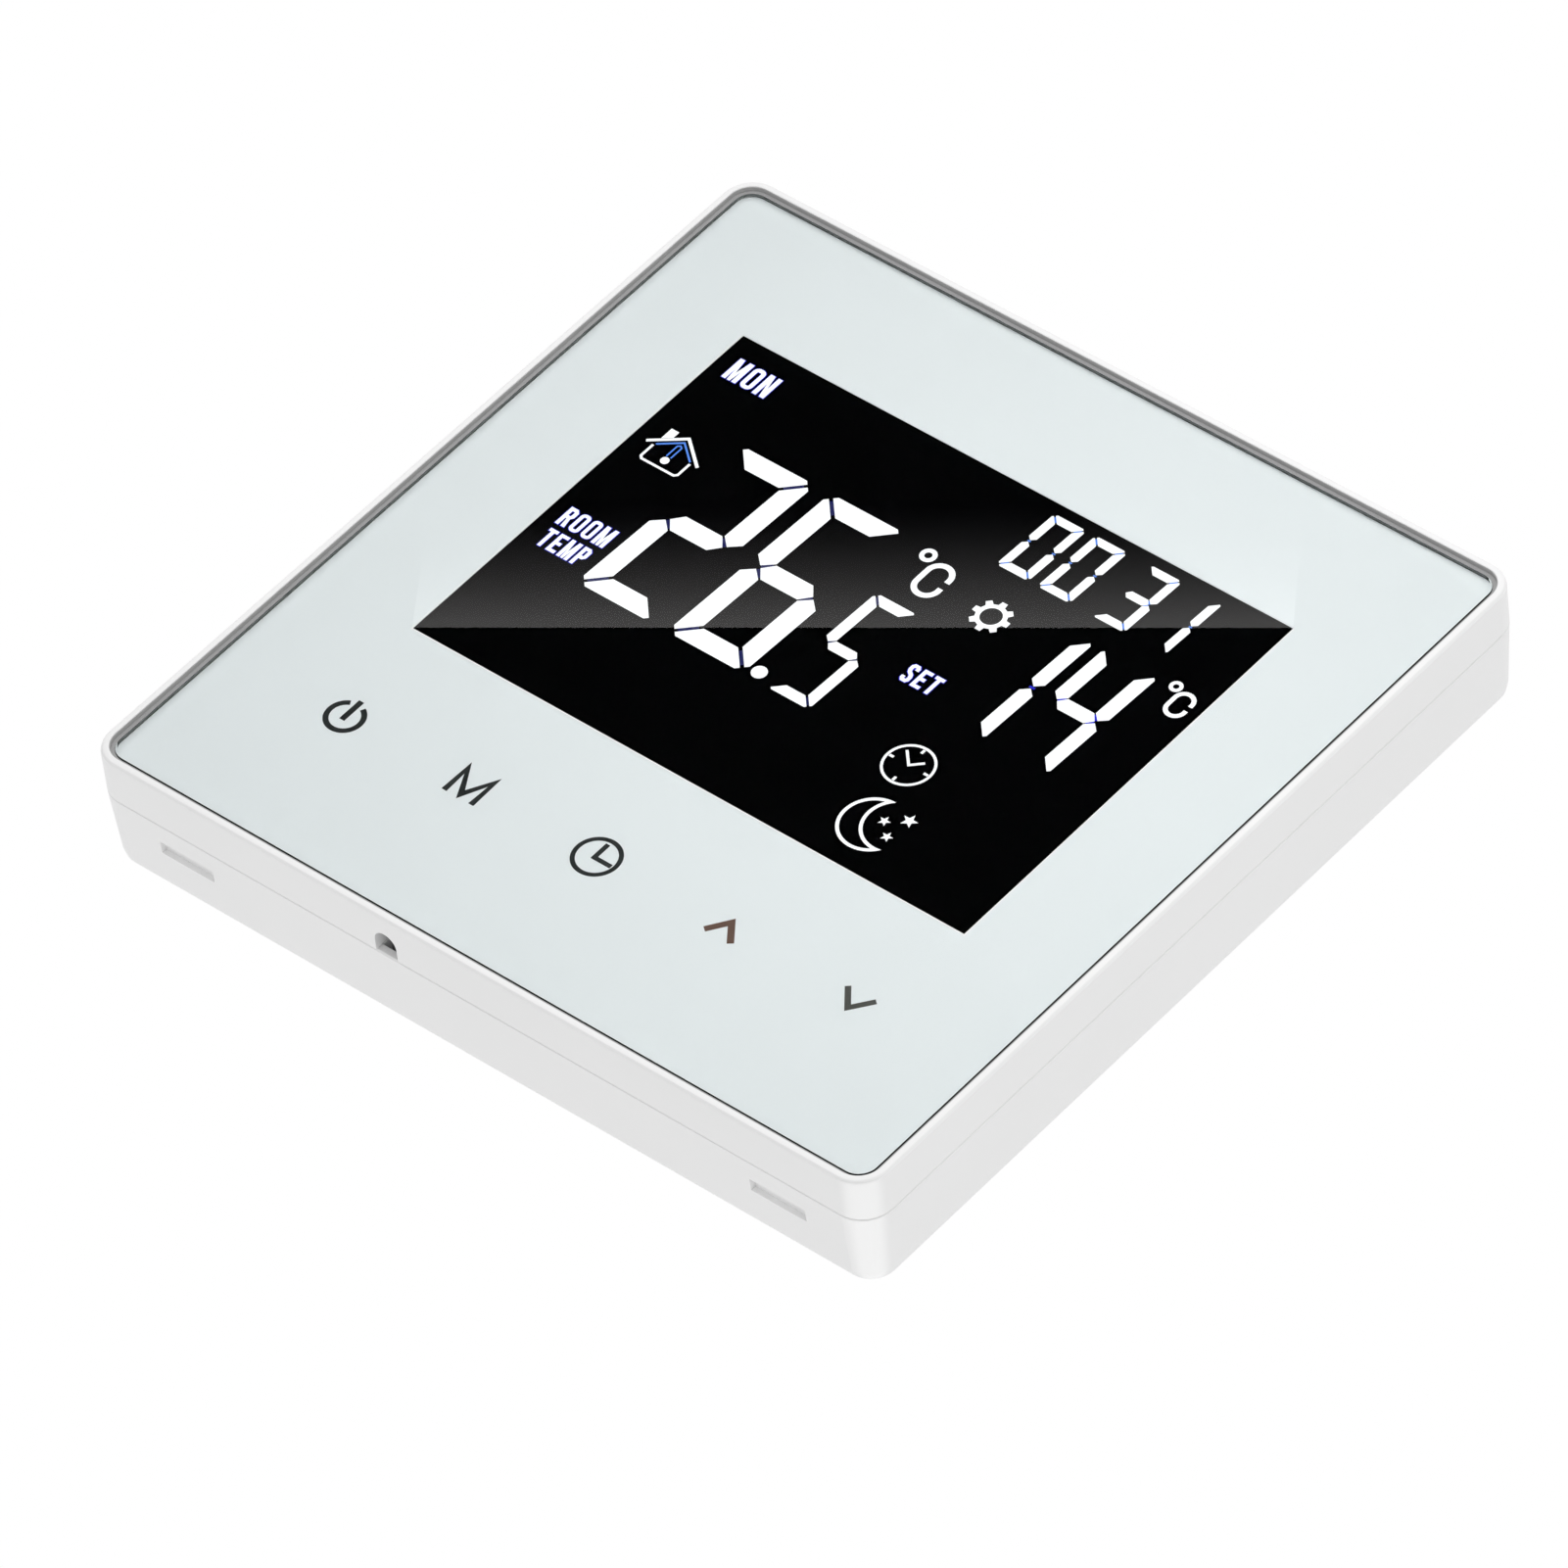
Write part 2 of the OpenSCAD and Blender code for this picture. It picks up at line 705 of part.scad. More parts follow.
// The box that enters the wall: full depth above the partition, a low sill below it.
module rear_box() {
    difference() {
        union() {
            slab(-eps, box_depth) intersection() {
                box_outline(0);
                translate([-box_w, partition_z]) square([2 * box_w, 2 * box_top]);
            }
            slab(-eps, sill_depth) box_outline(0);
        }
        slab(-1, y_box_in) intersection() {
            box_outline(box_wall);
            translate([-box_w, partition_z + box_wall]) square([2 * box_w, 2 * box_top]);
        }
        slab(-1, sill_depth - box_wall) box_outline(box_wall);
        slab(-1, power_t + 0.6) box_outline(box_wall);
        // window for the terminal block
        span(
            [-block_w / 2 - loose_gap, power_t - loose_gap, -box_low - 1],
            [block_w / 2 + loose_gap, sill_depth + 1, partition_z]
        );
        // cooling slots in the top and the rear of the box
        for (i = [-3:3]) {
            x = i * 4 - 0.9;
            span([x, 6, box_top - box_wall - 1], [x + 1.8, box_depth - 5, box_top + 1]);
            span([x, box_depth - box_wall - 1, -1], [x + 1.8, box_depth + 1, 7]);
        }
    }
}

module inner_cover() {
    socket_w = pin_count * pin_pitch + 1.4;
    color("ivory") difference() {
        union() {
            slab(y_cover, y_floor) box_outline(box_wall - cover_edge);
            // spacers that press the power board onto its bosses
            intersection() {
                for (p = cover_screws_at) post(p[0], p[1], pan_r + 0.9, y_floor - eps, 0);
                slab(y_floor - 1, 1) box_outline(box_wall + loose_gap);
            }
            // rim that drops into the mouth of the box
            slab(y_floor - eps, y_floor + 0.8) difference() {
                box_outline(box_wall + loose_gap);
                box_outline(box_wall + loose_gap + 1);
            }
        }
        for (p = cover_screws_at) {
            post(p[0], p[1], pan_r + 0.2, y_cover - 1, y_cover + pan_t);
            post(p[0], p[1], pilot_r + 0.15, y_cover - 1, 1);
        }
        span([-socket_w / 2, y_cover - 1, pin_z - 1.9], [socket_w / 2, 1, pin_z + 1.9]);
        // level slots that let warm air out of the box
        for (i = [-2:2])
            span([-8, y_cover - 1, 7 + i * 2.4], [8, y_floor + 1, 8 + i * 2.4]);
    }
}

module cover_screws() {
    color("silver") for (p = cover_screws_at) pan_screw(p[0], p[1], y_cover + pan_t, 1, 8);
}

module power_board() {
    color("darkgreen") difference() {
        slab(0, power_t) box_outline(box_wall + 0.4);
        for (p = cover_screws_at) post(p[0], p[1], pilot_r + 0.3, -1, power_t + 1);
        for (i = [1:poles])
            span([pole_x(i) - 1.1, -1, -10], [pole_x(i) + 1.1, power_t + 1, -9]);
        for (p = leads) post(p[0], p[1], lead_r + 0.1, -1, power_t + 1);
        span(
            [contact_x - 0.6, -1, relay_z - 1.1],
            [contact_x + 0.6, power_t + 1, relay_z + 1.1]
        );
        // isolation slot between the mains side and the low voltage side
        span([-16, -1, -8], [16, power_t + 1, -7]);
    }
}

module socket_header() {
    w = pin_count * pin_pitch + 0.8;
    color("black") difference() {
        span([-w / 2, y_socket, pin_z - 1.4], [w / 2, 0, pin_z + 1.4]);
        for (i = [0:pin_count - 1]) {
            x = (i - (pin_count - 1) / 2) * pin_pitch;
            span([x - 0.4, y_socket - 1, pin_z - 0.4], [x + 0.4, -0.6, pin_z + 0.4]);
        }
    }
}

module rectifier() {
    at = [-5, 14];
    color("black") span([at[0] - 2.3, -1.4, at[1] - 2], [at[0] + 2.3, -0.1, at[1] + 2]);
    color("silver") pins(at, 2, 2.5, 2, -0.5, 0, 0);
}

module power_chip() {
    at = [-8.5, 0.5];
    color("black") span([at[0] - 2.5, -1.5, at[1] - 2], [at[0] + 2.5, -0.1, at[1] + 2]);
    color("silver") pins(at, 4, 1.27, 2, -0.5, 0, 0);
}

// ---- relay -------------------------------------------------------------------------

module relay_base() {
    color("navy") difference() {
        span(
            [-relay_l / 2 + 0.9, power_t, relay_z - relay_w / 2 + 0.9],
            [relay_l / 2 - 0.9, power_t + 1.2, relay_z + relay_w / 2 - 0.9]
        );
        span(
            [contact_x - 0.6, power_t - 1, relay_z - 1.1],
            [contact_x + 0.6, power_t + 2, relay_z + 1.1]
        );
    }
}

module relay_cover() {
    wall = 0.8;
    color("midnightblue", 0.9) difference() {
        span(
            [-relay_l / 2, power_t, relay_z - relay_w / 2],
            [relay_l / 2, power_t + relay_h, relay_z + relay_w / 2]
        );
        span(
            [-relay_l / 2 + wall, power_t - 1, relay_z - relay_w / 2 + wall],
            [relay_l / 2 - wall, power_t + relay_h - wall, relay_z + relay_w / 2 - wall]
        );
    }
}

module relay_bobbin() {
    half = 4.8;
    color("ivory") difference() {
        union() {
            for (x = [bobbin_x[0], bobbin_x[1] - flange_t])
                span(
                    [x, coil_y - half, relay_z - half],
                    [x + flange_t, coil_y + half, relay_z + half]
                );
            rod_x(coil_y, relay_z, core_r + 0.8, bobbin_x[0], bobbin_x[1]);
            // feet on the base
            for (x = [bobbin_x[0], bobbin_x[1] - flange_t])
                span([x, power_t + 1.2, relay_z - 3], [x + flange_t, coil_y, relay_z + 3]);
        }
        rod_x(coil_y, relay_z, core_r + fit_gap, bobbin_x[0] - 1, bobbin_x[1] + 1);
    }
}

module relay_coil() {
    color("peru") difference() {
        rod_x(coil_y, relay_z, coil_r, bobbin_x[0] + flange_t + 0.1, bobbin_x[1] - flange_t - 0.1);
        rod_x(coil_y, relay_z, core_r + 0.85, bobbin_x[0], bobbin_x[1]);
    }
}

module relay_yoke() {
    x0 = bobbin_x[0] - 0.3;
    x1 = pivot_x - 0.6;
    color("gray") {
        span([x0 - yoke_t, power_t + 2, relay_z - 4.4], [x0, pivot_y + 0.2, relay_z + 4.4]);
        span([x0 - yoke_t, pivot_y - 0.8, relay_z - 4.4], [x1, pivot_y + 0.2, relay_z + 4.4]);
        rod_x(coil_y, relay_z, core_r, x0 - eps, pivot_x - 0.9);
        rod_x(coil_y, relay_z, core_r + 0.9, pivot_x - 1.5, pivot_x - 0.8);
    }
}

module relay_contact() {
    y_face = pivot_y - 4.1 - contact_gap - 0.8;
    color("gold") post(contact_x, relay_z, 1.5, y_face - 0.8, y_face);
    color("peru") {
        span(
            [contact_x - 2, y_face - 1.2, relay_z - 2],
            [contact_x + 1.6, y_face - 0.8, relay_z + 2]
        );
        span(
            [contact_x - 0.5, -1, relay_z - 1],
            [contact_x + 0.5, y_face - 1.2 + eps, relay_z + 1]
        );
    }
}

module relay_armature() {
    color("silver") {
        span([pivot_x, power_t + 2.4, relay_z - 4], [pivot_x + armature_t, pivot_y, relay_z + 4]);
        translate([pivot_x, pivot_y, relay_z - 4]) cylinder(r = 0.45, h = 8);
    }
}

module contact_spring() {
    leaf = 0.3;
    x0 = pivot_x + armature_t;
    y_arm = pivot_y - 4.1;
    color("orange") {
        span([x0, y_arm, relay_z - 2.6], [x0 + leaf, pivot_y - 0.6, relay_z + 2.6]);
        span([x0, y_arm, relay_z - 2.2], [contact_x + 1.6, y_arm + leaf, relay_z + 2.2]);
    }
    color("gold") post(contact_x, relay_z, 1.5, y_arm - 0.8, y_arm + eps);
}

// ---- power parts -------------------------------------------------------------------

module transformer_core() {
    x0 = transformer_at[0];
    z0 = transformer_at[1];
    w = transformer_size[0];
    l = transformer_size[1];
    y0 = power_t + 0.8;
    y1 = power_t + transformer_h;
    color("dimgray") {
        difference() {
            span([x0, y0, z0 + 3.7], [x0 + w, y1, z0 + l - 3.7]);
            span([x0 + 2.5, y0 + 2.5, z0], [x0 + w - 2.5, y1 - 2.5, z0 + l]);
        }
        span([x0 + w / 2 - 1.6, y0, z0 + 3.7], [x0 + w / 2 + 1.6, y1, z0 + l - 3.7]);
    }
}

module transformer_winding() {
    x0 = transformer_at[0];
    z0 = transformer_at[1];
    w = transformer_size[0];
    l = transformer_size[1];
    gap = 0.1;
    ym = [power_t + 0.8 + 2.5 + gap, power_t + transformer_h - 2.5 - gap];
    color("gold") difference() {
        span([x0 + 2.5 + gap, ym[0], z0 + 0.6], [x0 + w - 2.5 - gap, ym[1], z0 + l - 0.6]);
        span(
            [x0 + w / 2 - 1.6 - gap, power_t, z0 + 3.7 - gap],
            [x0 + w / 2 + 1.6 + gap, power_t + transformer_h, z0 + l - 3.7 + gap]
        );
    }
    color("silver") for (p = transformer_leads) lead(p, ym[0] + eps);
}

module electrolytic_capacitors() {
    color("black") for (c = cans) post(c[0], c[1], c[2], power_t + 0.3, power_t + c[3]);
    color("silver") for (p = can_leads) lead(p, power_t + 0.3 + eps);
}

module film_capacitor() {
    color("gold") span([9, power_t + 0.2, -6.1], [15, power_t + 11, 6.8]);
    color("silver") for (p = film_leads) lead(p, power_t + 0.2 + eps);
}

module varistor() {
    y = power_t + varistor_r + 1;
    x = varistor_at[0];
    color("royalblue") rod_x(y, varistor_at[1], varistor_r, x - 2, x + 2);
    color("silver") for (p = varistor_leads) lead(p, y - varistor_r / 2);
}

module fuse() {
    r = 1.7;
    y = power_t + r + 0.3;
    z = [fuse_leads[0][1] - 1, fuse_leads[1][1] + 1];
    color("saddlebrown") translate([fuse_leads[0][0], y, z[0]]) cylinder(r = r, h = z[1] - z[0]);
    color("silver") for (p = fuse_leads) lead(p, y);
}

// ---- terminals ---------------------------------------------------------------------

module terminal_block() {
    color("black") difference() {
        span([-block_w / 2, power_t, -block_low], [block_w / 2, y_block, -block_top]);
        for (i = [1:poles]) {
            x = pole_x(i);
            // cavity of the clamp
            span(
                [x - cavity_w / 2, y_cavity_low, -cavity_low],
                [x + cavity_w / 2, y_cavity_top, -cavity_top]
            );
            // wire entry
            span(
                [x - bar_w / 2 - 0.2, y_clamp + clamp_floor, -block_low - 1],
                [x + bar_w / 2 + 0.2, y_bar - 0.1, -cavity_low + 1]
            );
            // way for the bar and its pin
            span(
                [x - bar_w / 2 - 0.1, power_t - 1, -cavity_top - 0.1],
                [x + bar_w / 2 + 0.1, y_bar + bar_t + 0.1, -block_top - 0.4]
            );
            // screw way and head recess
            post(x, screw_z, terminal_r + loose_gap, y_cavity_low, y_block + 1);
            post(x, screw_z, head_r + 0.3, y_seat, y_block + 1);
        }
    }
}

module terminal_bars() {
    color("peru") for (i = [1:poles]) {
        x = pole_x(i);
        span([x - bar_w / 2, y_bar, -16.8], [x + bar_w / 2, y_bar + bar_t, -9.2]);
        span([x - 1, -0.8, -9.9], [x + 1, y_bar + eps, -9.2]);
    }
}

module terminal_screw(i) {
    x = pole_x(i);
    y_under = y_seat + fit_gap;
    tip = y_bar + bar_t + 0.3;
    color("silver") difference() {
        union() {
            post(x, screw_z, terminal_r, tip, y_under + eps);
            post(x, screw_z, head_r, y_under, y_under + head_t);
        }
        translate([x, y_under + head_t, screw_z]) cube([2 * head_r + 1, 1.4, 0.6], center = true);
        translate([x, y_under + head_t, screw_z]) cube([0.6, 1.4, 2.6], center = true);
    }
}

module terminal_clamp(i) {
    x = pole_x(i);
    color("gold") difference() {
        span(
            [x - clamp_w / 2, y_clamp, screw_z - clamp_l / 2],
            [x + clamp_w / 2, y_clamp_top, screw_z + clamp_l / 2]
        );
        span(
            [x - clamp_w / 2 + clamp_side, y_clamp + clamp_floor, screw_z - clamp_l],
            [x + clamp_w / 2 - clamp_side, y_clamp + clamp_floor + clamp_window, screw_z + clamp_l]
        );
        post(x, screw_z, terminal_r + fit_gap, y_clamp_top - clamp_head - 1, y_clamp_top + 1);
    }
}

front_bezel();
glass_panel();
glass_print();
glass_tape();
display_tape();
lcd_panel();
lcd_frame();
light_guide();
reflector_film();
backlight_leds();
contact_strip();
control_board();
touch_springs();
microcontroller();
touch_chip();
clock_crystal();
room_sensor();
backup_cell();
cell_clip();
board_screws_set();  // board_screws
pin_header();
wall_case();
inner_cover();
cover_screws();
power_board();
socket_header();
rectifier();
power_chip();
relay_base();
relay_cover();
relay_bobbin();
relay_coil();
relay_yoke();
relay_contact();
relay_armature();
contact_spring();
transformer_core();
transformer_winding();
electrolytic_capacitors();
film_capacitor();
varistor();
fuse();
terminal_block();
terminal_bars();
for (i = [1:poles]) {
    terminal_screw(i);
    terminal_clamp(i);
}
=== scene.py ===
"""Looks of a wall thermostat: glass front with a lit display, white case, and the works inside."""
import json
import math

import bpy
from mathutils import Matrix, Vector

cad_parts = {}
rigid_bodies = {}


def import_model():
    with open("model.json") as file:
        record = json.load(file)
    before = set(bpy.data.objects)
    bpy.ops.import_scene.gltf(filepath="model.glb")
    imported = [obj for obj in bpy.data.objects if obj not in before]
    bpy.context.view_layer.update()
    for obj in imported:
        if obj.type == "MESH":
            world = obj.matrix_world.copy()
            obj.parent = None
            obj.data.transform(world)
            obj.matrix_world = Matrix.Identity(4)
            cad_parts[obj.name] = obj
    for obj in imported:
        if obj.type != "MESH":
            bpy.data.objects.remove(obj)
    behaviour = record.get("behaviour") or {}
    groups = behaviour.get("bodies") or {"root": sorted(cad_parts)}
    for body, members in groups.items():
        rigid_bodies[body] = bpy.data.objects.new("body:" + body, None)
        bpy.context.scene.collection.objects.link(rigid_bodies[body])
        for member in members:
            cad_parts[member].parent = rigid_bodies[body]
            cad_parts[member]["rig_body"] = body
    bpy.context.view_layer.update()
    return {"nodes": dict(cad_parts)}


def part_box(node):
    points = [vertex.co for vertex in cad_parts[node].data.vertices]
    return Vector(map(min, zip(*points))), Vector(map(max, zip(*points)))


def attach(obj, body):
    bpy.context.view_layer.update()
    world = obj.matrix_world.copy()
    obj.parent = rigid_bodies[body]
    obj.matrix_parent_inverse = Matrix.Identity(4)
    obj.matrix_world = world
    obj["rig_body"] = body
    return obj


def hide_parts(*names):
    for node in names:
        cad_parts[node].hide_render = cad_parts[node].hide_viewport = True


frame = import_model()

nodes = frame["nodes"]
MM = 0.001


# ---- shader helpers ------------------------------------------------------------------

class Wire:
    """A shader output on which sums, products and powers add their own Math nodes."""

    def __init__(self, paint, socket):
        self.paint = paint
        self.socket = socket

    def maths(self, operation, first, second=0.0):
        return self.paint.node("ShaderNodeMath", {"operation": operation}, {0: first, 1: second})

    def __add__(self, other):
        return self.maths("ADD", self, other)

    def __radd__(self, other):
        return self.maths("ADD", other, self)

    def __sub__(self, other):
        return self.maths("SUBTRACT", self, other)

    def __rsub__(self, other):
        return self.maths("SUBTRACT", other, self)

    def __mul__(self, other):
        return self.maths("MULTIPLY", self, other)

    def __rmul__(self, other):
        return self.maths("MULTIPLY", other, self)

    def __gt__(self, other):
        return self.maths("GREATER_THAN", self, other)

    def __lt__(self, other):
        return self.maths("LESS_THAN", self, other)

    def __pow__(self, other):
        return self.maths("POWER", self, other)

    def __mod__(self, other):
        return self.maths("FLOORED_MODULO", self, other)

    def __abs__(self):
        return self.maths("ABSOLUTE", self)

    def limited(self):
        return self.paint.node("ShaderNodeClamp", {}, {"Value": self})


class Paint:
    """The node tree of a material or of the world."""

    def __init__(self, owner):
        owner.use_nodes = True
        self.tree = owner.node_tree
        self.tree.nodes.clear()

    def node(self, kind, settings=None, sockets=None, output=0):
        made = self.tree.nodes.new(kind)
        for name, value in (settings or {}).items():
            setattr(made, name, value)
        for name, value in (sockets or {}).items():
            self.feed(made.inputs[name], value)
        return Wire(self, made.outputs[output])

    def feed(self, socket, value):
        if isinstance(value, Wire):
            self.tree.links.new(value.socket, socket)
        elif socket.type == "RGBA":
            socket.default_value = (*value, 1.0)
        else:
            socket.default_value = value

    def mix(self, share, first, second):
        """A colour between two colours."""
        return self.node(
            "ShaderNodeMix", {"data_type": "RGBA"}, {0: share, 6: first, 7: second}, 2
        )

    def axes(self, vector):
        """The three numbers of a vector."""
        parts = self.tree.nodes.new("ShaderNodeSeparateXYZ")
        self.feed(parts.inputs[0], vector)
        return [Wire(self, out) for out in parts.outputs]


class Finish(Paint):
    """A material with one Principled shader."""

    def __init__(self, name, **sockets):
        self.material = bpy.data.materials.new(name)
        super().__init__(self.material)
        self.shader = self.tree.nodes.new("ShaderNodeBsdfPrincipled")
        out = self.tree.nodes.new("ShaderNodeOutputMaterial")
        self.tree.links.new(self.shader.outputs[0], out.inputs["Surface"])
        self.set(**sockets)
        self.place = self.node("ShaderNodeTexCoord", {}, {}, "Object")

    def set(self, **sockets):
        for name, value in sockets.items():
            self.feed(self.shader.inputs[name.replace("_", " ").title()], value)

    def noise(self, size, detail=2.0, stretch=None):
        """A noise whose patches are about size millimetres."""
        place = self.place
        if stretch:
            place = self.node("ShaderNodeMapping", {}, {"Vector": place, "Scale": stretch})
        return self.node(
            "ShaderNodeTexNoise", {},
            {"Vector": place, "Scale": 1000 / size, "Detail": detail},
        )

    def bump(self, height, depth):
        """Relief of the given depth in millimetres."""
        self.set(Normal=self.node(
            "ShaderNodeBump", {}, {"Strength": 1.0, "Distance": depth * MM, "Height": height}
        ))

    def tone(self, colour, share, size):
        """The base colour, drifting by a share over patches of the given size."""
        low = [c * (1 - share) for c in colour]
        high = [min(1.0, c * (1 + share)) for c in colour]
        drift = self.noise(size)
        self.set(base_color=self.mix(drift, low, high))
        return drift


def plastic(name, colour, rough=0.4, grain=0.12, depth=0.004, share=0.015):
    """Moulded plastic: a fine grain, and a slow drift of tone and gloss."""
    made = Finish(name)
    drift = made.tone(colour, share, 14)
    made.set(roughness=rough - 0.06 + 0.12 * drift)
    made.bump(made.noise(grain, 3), depth)
    return made.material


def metal(name, colour, rough=0.3, brush=(1, 1, 1), depth=0.003):
    """Plated or rolled metal, with fine marks that run along the longer brush sizes."""
    made = Finish(name, metallic=1.0)
    made.tone(colour, 0.08, 3)
    marks = made.noise(0.25, 3, brush)
    made.set(roughness=rough - 0.1 + 0.2 * marks)
    made.bump(marks, depth)
    return made.material


def glass():
    """Clear glass: it bends what lies behind it and mirrors the room at its face."""
    material = bpy.data.materials.new("cover_glass")
    made = Paint(material)
    facing = made.node("ShaderNodeNewGeometry", {}, {}, "Backfacing")
    mirror = made.node("ShaderNodeFresnel", {}, {"IOR": 1.5}) * (1 - facing)
    place = made.node("ShaderNodeTexCoord", {}, {}, "Object")
    smear = made.node("ShaderNodeTexNoise", {}, {"Vector": place, "Scale": 60.0, "Detail": 3.0})
    through = made.node(
        "ShaderNodeBsdfRefraction", {}, {"Color": (0.995, 1.0, 0.998), "Roughness": 0.0, "IOR": 1.5}
    )
    shine = made.node("ShaderNodeBsdfGlossy", {}, {"Color": (1, 1, 1), "Roughness": 0.0})
    mirror = mirror * (0.96 + 0.08 * smear)
    both = made.node("ShaderNodeMixShader", {}, {0: mirror, 1: through, 2: shine})
    out = made.tree.nodes.new("ShaderNodeOutputMaterial")
    made.feed(out.inputs["Surface"], both)
    return material


def edge_of_glass():
    """The ground rim of the glass: pale seen through the glass, and dark seen from its gap, where
    the dark is painted shade.
    """
    made = Finish("ground_edge", roughness=0.5)
    gap_shade_side = 1 - made.node("ShaderNodeNewGeometry", {}, {}, "Backfacing")
    rim = made.mix(made.noise(0.6), (0.82, 0.90, 0.89), (0.92, 0.98, 0.97))
    # the near-black tone on the side that faces the gap is painted shade for that narrow gap
    made.set(base_color=made.mix(gap_shade_side, rim, (0.10, 0.13, 0.13)))
    made.bump(made.noise(0.2), 0.01)
    return made.material


def lit(name, colour, strength, share=0.04):
    """A backlit mark on the display."""
    made = Finish(name, base_color=(0.02, 0.02, 0.02), roughness=0.4)
    drift = made.noise(6)
    made.set(emission_color=made.mix(drift, [c * (1 - share) for c in colour], colour))
    made.set(emission_strength=strength)
    made.material.cycles.emission_sampling = "NONE"
    return made.material


# ---- modelling helpers ---------------------------------------------------------------

def deselect():
    if bpy.context.object and bpy.context.object.mode != "OBJECT":
        bpy.ops.object.mode_set(mode="OBJECT")
    bpy.ops.object.select_all(action="DESELECT")


def placed(name, data):
    """A new object of the scene that holds the given mesh, curve, lamp or camera."""
    made = bpy.data.objects.new(name, data)
    bpy.context.scene.collection.objects.link(made)
    return made


def pick(piece):
    """Selects one piece alone and makes it the active one."""
    deselect()
    piece.select_set(True)
    bpy.context.view_layer.objects.active = piece
    return piece


def settle(piece):
    """Puts a piece's place into its mesh."""
    pick(piece)
    bpy.ops.object.transform_apply(location=True, rotation=True, scale=True)
    return piece


def wear(piece, *materials):
    piece.data.materials.clear()
    for material in materials:
        piece.data.materials.append(material)
    return piece


def edit_points(piece, wanted):
    """Enters edit mode with the points selected whose place is wanted."""
    pick(piece)
    bpy.ops.object.mode_set(mode="EDIT")
    bpy.ops.mesh.select_mode(type="VERT")
    bpy.ops.mesh.select_all(action="DESELECT")
    bpy.ops.object.mode_set(mode="OBJECT")
    for vertex in piece.data.vertices:
        vertex.select = wanted(vertex.co)
    bpy.ops.object.mode_set(mode="EDIT")


def apply(piece, kind, **settings):
    """Adds a modifier, sets it and applies it."""
    pick(piece)
    modifier = piece.modifiers.new(kind.lower(), kind)
    for name, value in settings.items():
        setattr(modifier, name, value)
    bpy.ops.object.modifier_apply(modifier=modifier.name)
    return piece


def smooth(piece, angle=35):
    pick(piece)
    bpy.ops.object.shade_smooth_by_angle(angle=math.radians(angle))
    return piece


def eased(node, name, material, width=0.12, segments=2, angle=28, reshape=None):
    """A copy of a part with merged faces and eased edges, which stands for the part."""
    source = nodes[node]
    piece = pick(placed(name, source.data.copy()))
    bpy.ops.object.mode_set(mode="EDIT")
    bpy.ops.mesh.select_all(action="SELECT")
    bpy.ops.mesh.remove_doubles(threshold=0.0005 * MM)
    bpy.ops.mesh.dissolve_limited(angle_limit=math.radians(0.5))
    bpy.ops.object.mode_set(mode="OBJECT")
    if reshape:
        reshape(piece)
    if width:
        apply(
            piece, "BEVEL", width=width * MM, segments=segments, limit_method="ANGLE",
            angle_limit=math.radians(angle), use_clamp_overlap=True, harden_normals=False,
        )
    smooth(piece)
    apply(piece, "WEIGHTED_NORMAL", keep_sharp=True, weight=60)
    wear(piece, material)
    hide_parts(node)
    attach(piece, source["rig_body"])
    return piece


def tipped(piece, second, wanted):
    """Gives a second finish to the faces whose middle, in millimetres, is wanted."""
    piece.data.materials.append(second)
    for face in piece.data.polygons:
        if wanted(*(face.center / MM)):
            face.material_index = 1


def from_curve(curve, turn, place):
    """A mesh made from a filled curve, turned and placed in its own points."""
    pick(placed(curve.name, curve))
    bpy.ops.object.convert(target="MESH")
    piece = bpy.context.object
    piece.rotation_euler = turn
    piece.location = place
    return settle(piece)


def flat(name, outlines, y, thick, material):
    """Marks of the front unit cut from a thin sheet: outlines in X and Z, on the plane y."""
    curve = bpy.data.curves.new(name, "CURVE")
    curve.dimensions = "2D"
    curve.fill_mode = "BOTH"
    curve.extrude = thick / 2 * MM
    for outline in outlines:
        spline = curve.splines.new("POLY")
        spline.points.add(len(outline) - 1)
        for point, (x, z) in zip(spline.points, outline):
            point.co = (x * MM, z * MM, 0, 1)
        spline.use_cyclic_u = True
    piece = wear(from_curve(curve, (math.pi / 2, 0, 0), (0, y * MM, 0)), material)
    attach(piece, "front_unit")


# ---- outlines ------------------------------------------------------------------------

def arc(x, z, r, start=0.0, end=360.0, steps=40, squeeze=1.0):
    """Points on an arc, anticlockwise from start to end in degrees from +X."""
    closed = abs(end - start) >= 360
    count = steps if closed else steps + 1
    turn = math.radians(end - start) / steps
    a0 = math.radians(start)
    return [
        (x + r * math.cos(a0 + i * turn), z + r * squeeze * math.sin(a0 + i * turn))
        for i in range(count)
    ]


def ring(x, z, outer, inner):
    """Two circles that leave a band between them."""
    return [arc(x, z, outer), arc(x, z, inner)]


def stroke(points, width):
    """The outline of a line of the given width through the points."""
    sides = ([], [])
    for i, (x, z) in enumerate(points):
        before = points[max(i - 1, 0)]
        after = points[min(i + 1, len(points) - 1)]
        turns = []
        for a, b in ((before, (x, z)), ((x, z), after)):
            d = Vector((b[0] - a[0], b[1] - a[1]))
            if d.length > 1e-9:
                turns.append(d.normalized())
        along = (turns[0] + turns[-1]).normalized()
        across = Vector((-along.y, along.x))
        half = width / 2 / max(0.4, across.dot(Vector((-turns[0].y, turns[0].x))))
        sides[0].append((x + across.x * half, z + across.y * half))
        sides[1].append((x - across.x * half, z - across.y * half))
    return sides[0] + sides[1][::-1]


LEAN = math.tan(math.radians(2))
SEGMENTS = {
    "0": "abcdef", "1": "bc", "2": "abged", "3": "abgcd", "4": "fgbc", "5": "afgcd",
    "6": "afgecd",
}


